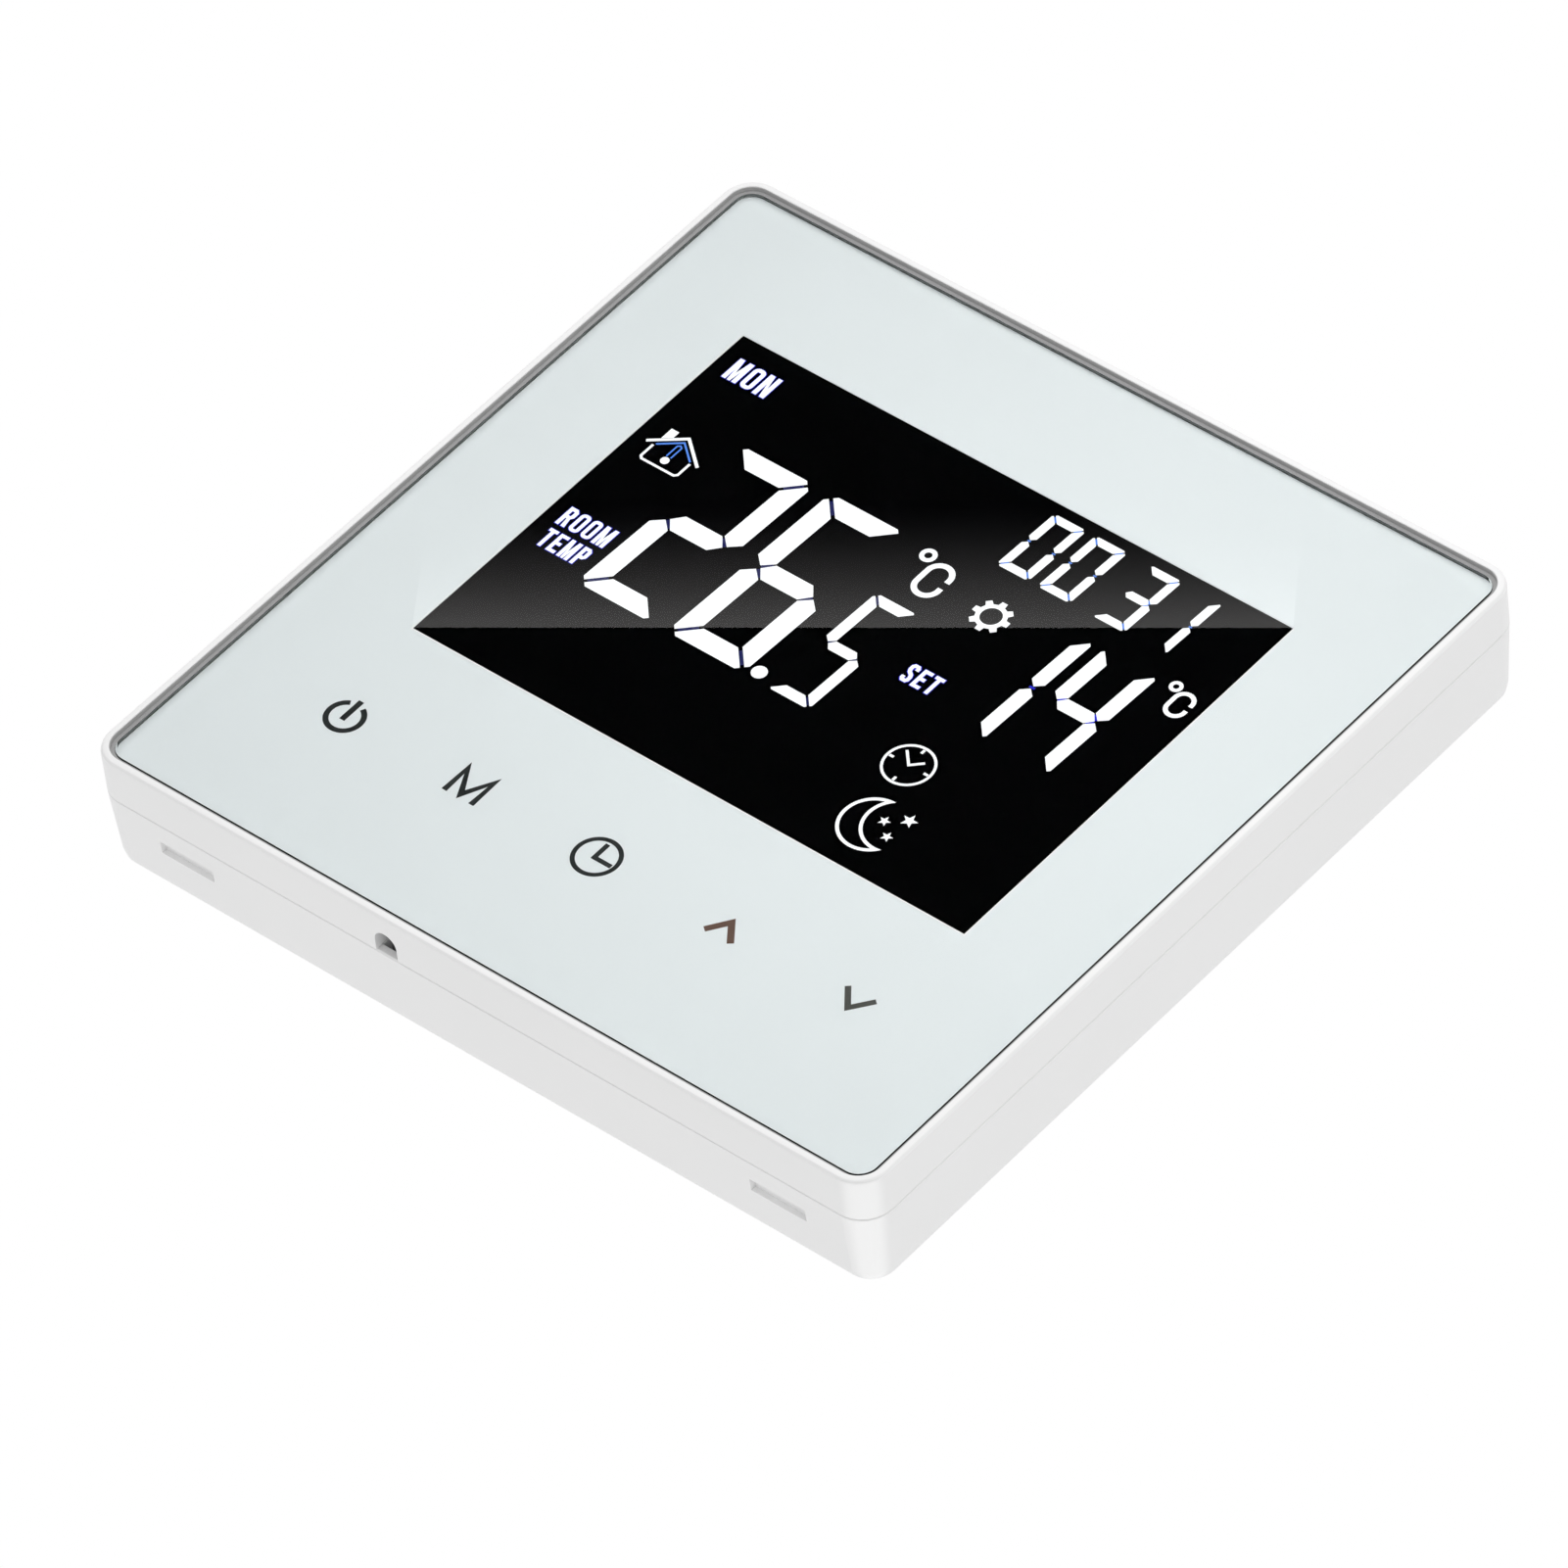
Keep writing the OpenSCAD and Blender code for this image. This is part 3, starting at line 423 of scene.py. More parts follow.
def digit(figure, left, low, width, height, thick, gap):
    """The outlines of one seven segment figure, with cut corners and a slight lean."""
    t, w, h, m = thick, width, height, height / 2
    e = gap * 0.7
    c = thick * 0.45
    top = [
        ((c + e) / 2, h - (c - e) / 2), (c, h), (w - c, h), (w - (c + e) / 2, h - (c - e) / 2),
        (w - t - e, h - t), (t + e, h - t),
    ]
    side = [
        (0, m + t / 2 + e * 0.5), (t / 2, m + e), (t, m + t / 2 + e * 0.5), (t, h - t - e),
        ((c - e) / 2, h - (c + e) / 2), (0, h - c),
    ]
    bar = [
        (t / 2 + e, m), (t + e * 0.5, m + t / 2), (w - t - e * 0.5, m + t / 2),
        (w - t / 2 - e, m), (w - t - e * 0.5, m - t / 2), (t + e * 0.5, m - t / 2),
    ]
    flip = lambda shape: [(w - x, z) for x, z in shape]
    drop = lambda shape: [(x, h - z) for x, z in shape]
    shapes = {
        "a": top, "d": drop(top), "g": bar, "f": side, "e": drop(side), "b": flip(side),
        "c": drop(flip(side)),
    }
    return [
        [(left + x + z * LEAN, low + z) for x, z in shapes[s]] for s in SEGMENTS[figure]
    ]


def seams(figure, left, low, width, height, thick, gap):
    """The outlines of the narrow gaps between neighbouring segments of a figure."""
    t, w, h, m, c = thick, width, height, height / 2, thick * 0.45
    drop = lambda line: [(x, h - z) for x, z in line]
    flip = lambda line: [(w - x, z) for x, z in line]
    corner = [(c / 2 + 0.1 * t, h - c / 2 - 0.1 * t), (t * 0.93, h - t * 0.93)]
    fork = [(t * 0.58, m + t * 0.08), (t * 0.95, m + t * 0.45)]
    lines = {
        "af": corner, "de": drop(corner), "ab": flip(corner), "cd": flip(drop(corner)),
        "fg": fork, "eg": drop(fork), "bg": flip(fork), "cg": flip(drop(fork)),
    }
    present = SEGMENTS[figure]
    if "g" not in present:
        waist = [(t * 0.3, m), (t * 0.7, m)]
        lines.update({"ef": waist, "bc": flip(waist)})
    return [
        [(left + x + z * LEAN, low + z) for x, z in stroke(line, gap * 0.9)]
        for pair, line in lines.items() if pair[0] in present and pair[1] in present
    ]


def letter_c(x0, x1, z0, z1, width):
    """A narrow round C between x0 and x1, open at its right."""
    x, z = (x0 + x1) / 2, (z0 + z1) / 2
    r = (x1 - x0 - width) / 2
    reach = (z1 - z0 - width) / 2 - r
    top = [(px, pz + reach) for px, pz in arc(x, z, r, 0, 180, 20)]
    low = [(px, pz - reach) for px, pz in arc(x, z, r, 180, 360, 20)]
    return stroke([(x + r, z + reach * 0.55)] + top + low + [(x + r, z - reach * 0.55)], width)


def star(x, z, r):
    """Five points whose notches lie at 0.42 of their reach."""
    reaches = (r, r * 0.42) * 5
    turns = [math.pi * i / 5 for i in range(10)]
    return [
        (x + reach * math.sin(turn), z + reach * math.cos(turn))
        for reach, turn in zip(reaches, turns)
    ]


def gear(x, z, outer, root, hole, teeth=8):
    """A toothed wheel with a round hole."""
    rim = []
    for i in range(teeth):
        for turn, r in ((-0.30, root), (-0.19, outer), (0.19, outer), (0.30, root)):
            a = 2 * math.pi * (i + turn) / teeth
            rim.append((x + r * math.sin(a), z + r * math.cos(a)))
    return [rim, arc(x, z, hole)]


def moon(x, z, r, bite_x, bite_z, bite_r, width):
    """A crescent drawn as a line: the outer circle outside the bite, and back along it."""
    start = math.atan2(bite_z - z, bite_x - x)
    inside = lambda p, cx, cz, cr: math.hypot(p[0] - cx, p[1] - cz) < cr
    order = lambda p, cx, cz: (math.atan2(p[1] - cz, p[0] - cx) - start) % (2 * math.pi)
    shapes = []
    for grow in (width / 2, -width / 2):
        disc, bite = (x, z, r + grow), (bite_x, bite_z, bite_r - grow)
        outer = [p for p in arc(*disc, 30, 390, 120) if not inside(p, *bite)]
        inner = [p for p in arc(*bite, -150, 210, 120) if inside(p, *disc)]
        outer.sort(key=lambda p: order(p, x, z))
        inner.sort(key=lambda p: order(p, bite_x, bite_z))
        shapes.append(outer + inner[::-1])
    return shapes


def letter(sign, x, z, w, h, t):
    """The outlines of one narrow bold capital, its foot at x, z, w wide and h high."""
    mid, bowl, hole = h * 0.5, h * 0.42, 0.62 * w
    shapes = {
        "M": [[
            (0, 0), (0, h), (t * 1.1, h), (w / 2, h * 0.36), (w - t * 1.1, h), (w, h), (w, 0),
            (w - t, 0), (w - t, h * 0.6), (w * 0.6, 0), (w * 0.4, 0), (t, h * 0.6), (t, 0),
        ]],
        "N": [[
            (0, 0), (0, h), (t * 1.1, h), (w - t, h * 0.38), (w - t, h), (w, h), (w, 0),
            (w - t * 1.1, 0), (t, h * 0.62), (t, 0),
        ]],
        "O": [
            [(px, pz) for c, start in (((w, h), 0), ((0, h), 90), ((0, 0), 180), ((w, 0), 270))
             for px, pz in arc(
                 abs(c[0] - reach), abs(c[1] - reach), reach - inset, start, start + 90, 6)]
            for reach, inset in ((w * 0.42, 0), (w * 0.42, t * 0.92))
        ],
        "R": [[
            (0, 0), (0, h), (w * 0.72, h), (w, h * 0.86), (w, h * 0.58), (w * 0.8, h * 0.45),
            (w, 0), (w - t * 1.1, 0), (w * 0.5, bowl), (t, bowl), (t, 0),
        ], [
            (t, h - t), (hole, h - t), (w - t, h * 0.79), (w - t, h * 0.66), (hole, bowl + t),
            (t, bowl + t),
        ]],
        "P": [[
            (0, 0), (0, h), (w * 0.72, h), (w, h * 0.86), (w, h * 0.52),
            (w * 0.72, bowl - 0.04 * h), (t, bowl - 0.04 * h), (t, 0),
        ], [
            (t, h - t), (hole, h - t), (w - t, h * 0.79), (w - t, h * 0.62), (hole, bowl + t * 0.8),
            (t, bowl + t * 0.8),
        ]],
        "E": [[
            (0, 0), (0, h), (w, h), (w, h - t), (t, h - t), (t, mid + t / 2),
            (w * 0.85, mid + t / 2), (w * 0.85, mid - t / 2), (t, mid - t / 2), (t, t), (w, t),
            (w, 0),
        ]],
        "T": [[
            (w / 2 - t / 2, 0), (w / 2 - t / 2, h - t), (0, h - t), (0, h), (w, h), (w, h - t),
            (w / 2 + t / 2, h - t), (w / 2 + t / 2, 0),
        ]],
        "S": [stroke([
            (w - t / 2, h * 0.72), (w - t / 2, h * 0.84), (w * 0.68, h - t / 2),
            (w * 0.32, h - t / 2), (t / 2, h * 0.84), (t / 2, h * 0.68), (w * 0.32, h * 0.56),
            (w * 0.68, h * 0.44), (w - t / 2, h * 0.32), (w - t / 2, h * 0.16),
            (w * 0.68, t / 2), (w * 0.32, t / 2), (t / 2, h * 0.16), (t / 2, h * 0.28),
        ], t)],
    }
    return [[(x + px, z + pz) for px, pz in shape] for shape in shapes[sign]]


def word(text, x0, x1, z0, z1, t, gap, grow=0.0):
    """A word fitted to its box, every line thicker on both sides by grow."""
    wide = {"M": 1.25, "N": 1.05}
    share = (x1 - x0 - gap * (len(text) - 1)) / sum(wide.get(c, 1.0) for c in text)
    outlines = []
    for sign in text:
        width = share * wide.get(sign, 1.0)
        outlines += letter(
            sign, x0 - grow, z0 - grow, width + 2 * grow, z1 - z0 + 2 * grow, t + 2 * grow
        )
        x0 += width + gap
    return outlines


# ---- finishes ------------------------------------------------------------------------

white_case = plastic("white_case", (0.86, 0.86, 0.86), 0.36)
# a darker copy of the case white for the lip's front faces: painted shade that tones down the light
# they catch
lip_painted_shade = plastic("lip_painted_shade", (0.76, 0.76, 0.76), 0.3)
mint_print = plastic("mint_print", (0.885, 0.93, 0.945), 0.5, 0.2, 0.0, 0.006)
display_black = plastic("display_black", (0.0015, 0.0015, 0.002), 0.3, 0.3, 0.0)
display_black.node_tree.nodes["Principled BSDF"].inputs["Specular IOR Level"].default_value = 0.0
cover_glass = glass()
ground_edge = edge_of_glass()
lit_white = lit("lit_white", (0.97, 0.985, 1.0), 1.15, 0.02)
lit_navy = lit("lit_navy", (0.003, 0.005, 0.10), 0.9)
lit_deep_blue = lit("lit_deep_blue", (0.0, 0.005, 0.75), 0.9)
lit_light_blue = lit("lit_light_blue", (0.10, 0.30, 1.0), 0.9)
line_white = plastic("line_white", (0.98, 0.99, 0.98), 0.5, 0.2, 0.0, 0.005)
grey_ink = plastic("grey_ink", (0.022, 0.027, 0.027), 0.6)
brown_ink = plastic("brown_ink", (0.16, 0.085, 0.06), 0.6)
dark_ink = plastic("dark_ink", (0.09, 0.09, 0.08), 0.6)

# ---- front unit ----------------------------------------------------------------------

glass_low, glass_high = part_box("glass_panel")
lcd_low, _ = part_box("lcd_panel")
print_low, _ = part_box("glass_print")
HALF_PLATE = 43
LIP_WIDTH = 0.76
LIP_CORNER = 2.24
LIP_FOOT = -12.7

bezel = eased("front_bezel", "bezel_shell", white_case, 0.1)
# the lip's faces that look forward take the darker copy of the case white: painted shade, chosen by
# facing direction
bezel.data.materials.append(lip_painted_shade)
for face in bezel.data.polygons:
    if face.normal.y < -0.4 and face.center.y < LIP_FOOT * MM:
        face.material_index = 1


def rounder_back(piece):
    """Widens the rounding where the case's drafted sides meet its back."""
    half, corner, narrow, wide = 42.55, 2.55, 0.9, 1.6
    for vertex in piece.data.vertices:
        x, y, z = vertex.co / MM
        out_x, out_z = abs(x) - half + corner, abs(z) - half + corner
        away = Vector((max(out_x, 0), max(out_z, 0)))
        inset = corner - away.length
        if y < -narrow - 0.02 or inset > narrow + 0.02:
            continue
        shift = away.normalized() * inset * (wide / narrow - 1) * MM
        vertex.co.x -= math.copysign(shift.x, x)
        vertex.co.z -= math.copysign(shift.y, z)
        vertex.co.y *= wide / narrow


eased("wall_case", "case_shell", white_case, 0.15, reshape=rounder_back)


def cover():
    """The glass: a sheet with ground edges, just clear of the print behind it."""
    piece = eased("glass_panel", "cover_glass_sheet", cover_glass, 0)
    edit_points(piece, lambda p: p.y > glass_high.y - 0.01 * MM)
    bpy.ops.transform.translate(value=(0, -0.02 * MM, 0))
    bpy.ops.object.mode_set(mode="OBJECT")
    apply(
        piece, "BEVEL", width=0.2 * MM, segments=3, limit_method="ANGLE",
        angle_limit=math.radians(40),
    )
    piece.data.materials.append(ground_edge)
    for face in piece.data.polygons:
        if abs(face.normal.y) < 0.2:
            face.material_index = 1
    smooth(piece)


cover()
wear(nodes["glass_print"], mint_print)
wear(nodes["lcd_panel"], display_black)

# the lit image lies on the panel's face, and its marks lie aside in X and Z by what the
# glass bends the sight of them from the lower right
IMAGE_Y = lcd_low.y / MM - 0.03
SIGHT = (-0.52, 0.52)


def corner_path(half, r, steps=8):
    """A square outline with round corners."""
    path = []
    for quarter, (sx, sz) in enumerate(((1, 1), (-1, 1), (-1, -1), (1, -1))):
        path += arc(
            sx * (half - r), sz * (half - r), r, 90 * quarter, 90 * quarter + 90, steps
        )[:steps + 1]
    return path


def seal():
    """Painted shade round the glass: a grey fill in the gap and a grey lining on the lip's inner
    wall, where shade falls.
    """
    glass_half = glass_high.x / MM
    lip = HALF_PLATE - LIP_WIDTH
    top, foot = glass_low.y / MM + 0.2, -11.9
    fill = [
        corner_path(lip, LIP_CORNER),
        corner_path(glass_half + 0.01, LIP_CORNER - (lip - glass_half)),
    ]
    flat("gap_painted_shade", fill, (top + foot) / 2, foot - top, painted_shade_grey)
    lining = [corner_path(lip - out, LIP_CORNER - out) for out in (0.005, 0.07)]
    flat("lip_wall_painted_shade", lining, -12.98, 0.46, painted_shade_grey)


# a mid grey that paints the shade in the gap round the glass and on the lip's inner wall
painted_shade_grey = plastic("painted_shade_grey", (0.37, 0.37, 0.37), 0.6, 0.3, 0.01)
seal()


# each row: figures, their left edges, foot, width, height, thickness and gap
FIGURES = {
    "room": ("26", (-22.3, -12.14), -3.6, 8.45, 20.65, 2.05, 0.38),
    "tenths": ("5", (-1.0,), -3.65, 4.62, 13.85, 1.1, 0.24),
    "time": ("0031", (5.55, 10.08, 16.05, 20.5), 18.75, 3.54, 7.5, 0.84, 0.17),
    "set": ("14", (12.0, 18.97), 2.05, 5.85, 14.45, 1.43, 0.24),
}


def image_marks():
    """Every lit mark of the display, as outlines in the plane of the glass."""
    marks = []
    for figures, lefts, *sizes in FIGURES.values():
        for figure, left in zip(figures, lefts):
            marks += digit(figure, left, *sizes)
    marks.append(arc(-2.58, -2.72, 0.73))
    marks += ring(0.2, 16.2, 0.8, 0.36) + [letter_c(1.0, 3.9, 11.95, 16.3, 0.55)]
    marks += ring(27.2, 16.4, 0.63, 0.28) + [letter_c(27.7, 29.9, 13.3, 16.5, 0.42)]
    marks += gear(9.22, 13.7, 1.9, 1.45, 1.0)
    # house with a thermometer
    marks.append(stroke([(-28.6, 12.8), (-25.65, 15.05), (-22.8, 12.8)], 0.3))
    marks.append([(-27.7, 15.15), (-26.85, 15.15), (-26.85, 14.4), (-27.7, 13.75)])
    marks.append(stroke(
        [(-27.75, 12.75), (-27.75, 11.15), (-27.5, 10.9), (-23.85, 10.9), (-23.6, 11.15),
         (-23.6, 12.75)], 0.24
    ))
    marks.append(arc(-25.66, 11.85, 0.42, 0, 360, 24))
    # clock
    marks += ring(14.72, -3.71, 2.42, 2.17)
    for sx, sz in ((0, 1), (1, 0), (0, -1), (-1, 0)):
        marks.append(stroke(
            [(14.72 + sx * 2.1, -3.71 + sz * 2.1), (14.72 + sx * 1.65, -3.71 + sz * 1.65)], 0.25
        ))
    marks.append(stroke([(13.48, -2.45), (14.72, -3.71), (15.72, -2.76)], 0.25))
    # moon and stars
    marks += moon(16.63, -10.74, 2.93, 18.47, -9.81, 2.97, 0.32)
    marks += [star(18.93, -8.63, 0.78), star(17.22, -9.85, 0.57), star(18.55, -11.12, 0.57)]
    return marks


def moved(shapes, by):
    """The shapes, shifted in X and Z."""
    return [[(x + by[0], z + by[1]) for x, z in shape] for shape in shapes]


def shown(name, outlines, material):
    """Lit marks in the plane of the display's image."""
    flat(name, moved(outlines, SIGHT), IMAGE_Y, 0.02, material)


def shown_behind(name, outlines, material):
    """Thin marks just behind the white ones: they show in gaps and round edges."""
    flat(name, moved(outlines, SIGHT), IMAGE_Y + 0.015, 0.006, material)


shown("display_image", image_marks(), lit_white)
shown("house_lines", [
    stroke([(-27.6, 12.95), (-25.65, 14.45), (-23.75, 12.95)], 0.18),
    stroke([(-25.9, 12.35), (-25.9, 13.8), (-25.66, 13.98), (-25.42, 13.8), (-25.42, 12.35)], 0.14),
], lit_light_blue)
for row, tone in (
    ("room", lit_navy), ("tenths", lit_navy), ("time", lit_light_blue), ("set", lit_deep_blue)
):
    figures, lefts, *sizes = FIGURES[row]
    gaps = [line for f, left in zip(figures, lefts) for line in seams(f, left, *sizes)]
    shown_behind(f"{row}_gaps", gaps, tone)
for text, *box in (
    ("MON", -28.4, -23.65, 22.5, 25.15, 0.44, 0.32),
    ("ROOM", -28.5, -23.15, 0.7, 3.0, 0.37, 0.3),
    ("TEMP", -28.3, -23.45, -2.2, 0.05, 0.35, 0.28),
    ("SET", 7.45, 10.95, 3.5, 5.7, 0.36, 0.32),
):
    shown(f"word_{text.lower()}", word(text, *box), lit_white)
    shown_behind(f"word_{text.lower()}_glow", word(text, *box, 0.06), lit_deep_blue)

# the line round the window and the key symbols are printed on the back of the glass
KEY_SIGHT = (-0.41, 0.41)
KEY_Y = print_low.y / MM - 0.008
INK = 0.01


def key(name, outlines, material):
    """A symbol in ink, shifted for the bend of light in the glass as the image is."""
    flat(name, moved(outlines, KEY_SIGHT), KEY_Y, INK, material)


def window_line():
    """A thin line along the window's foot and sides."""
    x0, x1, z0, z1 = -30.5, 30.5, -15.45, 27.85
    side, foot = 0.12, 0.16
    inner = [(x0, z0), (x1, z0), (x1, z1), (x0, z1)]
    outer = [(x0 - side, z0 - foot), (x1 + side, z0 - foot), (x1 + side, z1), (x0 - side, z1)]
    flat("window_line", [outer, inner], KEY_Y, INK, line_white)


window_line()
key("key_power", [
    stroke(arc(-27.86, -27.08, 1.65, 115, 425, 48), 0.52),
    stroke([(-27.86, -24.93), (-27.86, -27.5)], 0.56),
], grey_ink)
key("key_mode", [stroke(
    [(-15.35, -28.6), (-15.35, -25.5), (-13.85, -28.2), (-12.35, -25.5), (-12.35, -28.6)], 0.56
)], grey_ink)
key("key_clock", ring(0.25, -26.97, 2.28, 1.85) + [
    stroke([(0.12, -25.35), (0.12, -27.15), (1.98, -27.15)], 0.46)
], grey_ink)
key("key_up", [stroke([(12.95, -28.0), (14.34, -26.1), (15.8, -28.0)], 0.62)], brown_ink)
key("key_down", [stroke([(26.85, -25.95), (28.4, -27.85), (29.9, -25.95)], 0.55)], dark_ink)


# ---- works ---------------------------------------------------------------------------

def board(name):
    """Green solder mask over tracks that run along or across in patches, with tinned vias."""
    made = Finish(name)
    x, _, z = made.axes(made.place)

    def cell(scale):
        """A chance number for each square of a grid."""
        snap = made.node(
            "ShaderNodeVectorMath", {"operation": "SNAP"}, {0: made.place, 1: (scale, 1.0, scale)}
        )
        return made.node("ShaderNodeTexWhiteNoise", {}, {"Vector": snap}, "Value")

    def stripes(axis, pitch, width):
        """Bars of the given width across one axis."""
        return abs((axis % pitch) - pitch / 2) < width / 2

    patch = cell(7.62 * MM)
    pitch, track, grid = 0.9 * MM, 0.32 * MM, 2.54 * MM
    along = stripes(x, pitch, track) * (patch < 0.22)
    across = stripes(z, pitch, track) * (patch > 0.3) * (patch < 0.52)
    copper = (along + across).limited()
    dots = made.node(
        "ShaderNodeTexVoronoi", {"feature": "F1"},
        {"Vector": made.place, "Scale": 1 / grid, "Randomness": 0.0},
    )
    via = (dots < 0.13) * (cell(grid) > 0.72)
    drift = made.noise(8)
    mask = made.mix(copper, (0.006, 0.105, 0.035), (0.016, 0.19, 0.07))
    made.set(base_color=made.mix(via, mask, (0.72, 0.72, 0.70)))
    made.set(metallic=via * 0.9, roughness=0.28 + 0.1 * drift)
    made.bump(copper + 0.15 * made.noise(0.8), 0.03)
    return made.material


def striped(name, first, second, pitch, axis, rough=0.5):
    """Two tones in fine layers across one axis."""
    made = Finish(name)
    lines = made.axes(made.place)[axis] % (pitch * MM) > pitch * MM / 2
    made.set(base_color=made.mix(lines, first, second), roughness=rough + 0.1 * made.noise(1))
    made.bump(lines, 0.01)
    return made.material


board_green = board("board_green")
tape_grey = plastic("tape_grey", (0.30, 0.31, 0.32), 0.85, 0.4, 0.02)
frame_white = plastic("frame_white", (0.78, 0.78, 0.77), 0.45)
guide_clear = plastic("guide_clear", (0.72, 0.80, 0.84), 0.15, 0.7, 0.02)
film_silver = metal("film_silver", (0.86, 0.87, 0.88), 0.35)
led_yellow = plastic("led_yellow", (0.85, 0.72, 0.22), 0.5)
rubber_layers = striped("rubber_layers", (0.42, 0.42, 0.43), (0.06, 0.06, 0.06), 0.36, 0, 0.7)
spring_steel = metal("spring_steel", (0.70, 0.70, 0.69), 0.28)
chip_black = plastic("chip_black", (0.018, 0.018, 0.02), 0.5, 0.08, 0.006, 0.1)
can_steel = metal("can_steel", (0.72, 0.72, 0.71), 0.25, (1, 8, 1))
brass = metal("brass", (0.78, 0.58, 0.28), 0.3)
screw_steel = metal("screw_steel", (0.52, 0.52, 0.51), 0.3)
tin = metal("tin", (0.62, 0.62, 0.61), 0.32)
gold = metal("gold", (0.85, 0.62, 0.25), 0.25)
header_black = plastic("header_black", (0.02, 0.02, 0.022), 0.42)
cover_ivory = plastic("cover_ivory", (0.70, 0.69, 0.64), 0.5)
relay_blue = plastic("relay_blue", (0.035, 0.16, 0.42), 0.35)
bobbin_ivory = plastic("bobbin_ivory", (0.72, 0.68, 0.55), 0.45)
coil_copper = striped("coil_copper", (0.55, 0.20, 0.07), (0.32, 0.10, 0.035), 0.16, 2, 0.3)
iron_plated = metal("iron_plated", (0.62, 0.60, 0.54), 0.35)
ferrite = plastic("ferrite", (0.035, 0.034, 0.036), 0.6, 0.15, 0.02, 0.15)
tape_yellow = plastic("tape_yellow", (0.80, 0.60, 0.10), 0.3, 0.5, 0.01)
can_sleeve = plastic("can_sleeve", (0.02, 0.03, 0.06), 0.3, 0.4, 0.002)
capacitor_yellow = plastic("capacitor_yellow", (0.82, 0.58, 0.08), 0.4)
varistor_blue = plastic("varistor_blue", (0.03, 0.12, 0.48), 0.35, 0.6, 0.03)
fuse_brown = plastic("fuse_brown", (0.28, 0.12, 0.05), 0.35)
terminal_black = plastic("terminal_black", (0.022, 0.023, 0.024), 0.45, 0.1, 0.006, 0.06)

for node, finish, width in (
    ("glass_tape", tape_grey, 0),
    ("display_tape", tape_grey, 0),
    ("lcd_frame", frame_white, 0.08),
    ("light_guide", guide_clear, 0.05),
    ("reflector_film", film_silver, 0),
    ("backlight_leds", led_yellow, 0.04),
    ("contact_strip", rubber_layers, 0.05),
    ("control_board", board_green, 0.04),
    ("touch_springs", spring_steel, 0),
    ("microcontroller", chip_black, 0.06),
    ("touch_chip", chip_black, 0.05),
    ("clock_crystal", can_steel, 0.1),
    ("room_sensor", chip_black, 0.02),
    ("backup_cell", can_steel, 0.12),
    ("cell_clip", brass, 0.03),
    ("board_screws", screw_steel, 0.08),
    ("pin_header", header_black, 0.05),
    ("inner_cover", cover_ivory, 0.12),
    ("cover_screws", screw_steel, 0.08),
    ("power_board", board_green, 0.04),
    ("socket_header", header_black, 0.06),
    ("rectifier", chip_black, 0.06),
    ("power_chip", chip_black, 0.05),
    ("relay_base", relay_blue, 0.08),
    ("relay_cover", relay_blue, 0.2),
    ("relay_bobbin", bobbin_ivory, 0.06),
    ("relay_coil", coil_copper, 0.08),
    ("relay_yoke", iron_plated, 0.05),
    ("relay_contact", brass, 0.03),
    ("relay_armature", iron_plated, 0.05),
    ("contact_spring", brass, 0.02),
    ("transformer_core", ferrite, 0.1),
    ("transformer_winding", tape_yellow, 0.1),
    ("electrolytic_capacitors", can_sleeve, 0.2),
    ("film_capacitor", capacitor_yellow, 0.3),
    ("varistor", varistor_blue, 0.3),
    ("fuse", fuse_brown, 0.15),
    ("terminal_block", terminal_black, 0.12),
    ("terminal_bars", brass, 0.04),
):
    eased(node, node + "_piece", finish, width)
# second finishes: leads, pins and contacts, by the place of a face in millimetres
TIPS = {
    "microcontroller": (tin, lambda x, y, z: abs(x - 10) > 5.01 or abs(z - 13) > 5.01),
    "touch_chip": (tin, lambda x, y, z: abs(z + 27) > 2.01),
    "room_sensor": (tin, lambda x, y, z: z > -37.4),
    "pin_header": (gold, lambda x, y, z: y > -5.19),
    "rectifier": (tin, lambda x, y, z: abs(z - 14) > 2.01),
    "power_chip": (tin, lambda x, y, z: abs(z - 0.5) > 2.01),
    "relay_contact": (gold, lambda x, y, z: abs(x - 11.2) < 1.6 and y > 9),
    "contact_spring": (gold, lambda x, y, z: y < 11.05),
    "transformer_winding": (tin, lambda x, y, z: y < 4.95),
    "electrolytic_capacitors": (
        can_steel, lambda x, y, z: y < 1.85 or min(abs(y - 14.6), abs(y - 11.6)) < 0.02
    ),
    "film_capacitor": (tin, lambda x, y, z: y < 1.75),
    "varistor": (tin, lambda x, y, z: y < 2.5),
    "fuse": (tin, lambda x, y, z: y < 1.8),
}
for node, (second, wanted) in TIPS.items():
    tipped(bpy.data.objects[node + "_piece"], second, wanted)
for i in range(1, 7):
    eased(f"terminal_screw_{i}", f"terminal_screw_{i}_piece", screw_steel, 0.08)
    eased(f"terminal_clamp_{i}", f"terminal_clamp_{i}_piece", tin, 0.08)


def chip_part(length, width, height, finish):
    """A small part with tinned ends, lying at the origin along X."""
    deselect()
    bpy.ops.mesh.primitive_cube_add(size=1, scale=(length * MM, height * MM, width * MM))
    part = settle(bpy.context.object)
    tin_from = length * 0.32
    bpy.ops.object.mode_set(mode="EDIT")
    for side in (-1, 1):
        bpy.ops.mesh.select_all(action="SELECT")
        bpy.ops.mesh.bisect(plane_co=(side * tin_from * MM, 0, 0), plane_no=(1, 0, 0))
    bpy.ops.object.mode_set(mode="OBJECT")
    apply(part, "BEVEL", width=0.06 * MM, segments=2, limit_method="ANGLE")
    wear(part, finish)
    tipped(part, tin, lambda x, y, z: abs(x) > tin_from)
    return smooth(part)


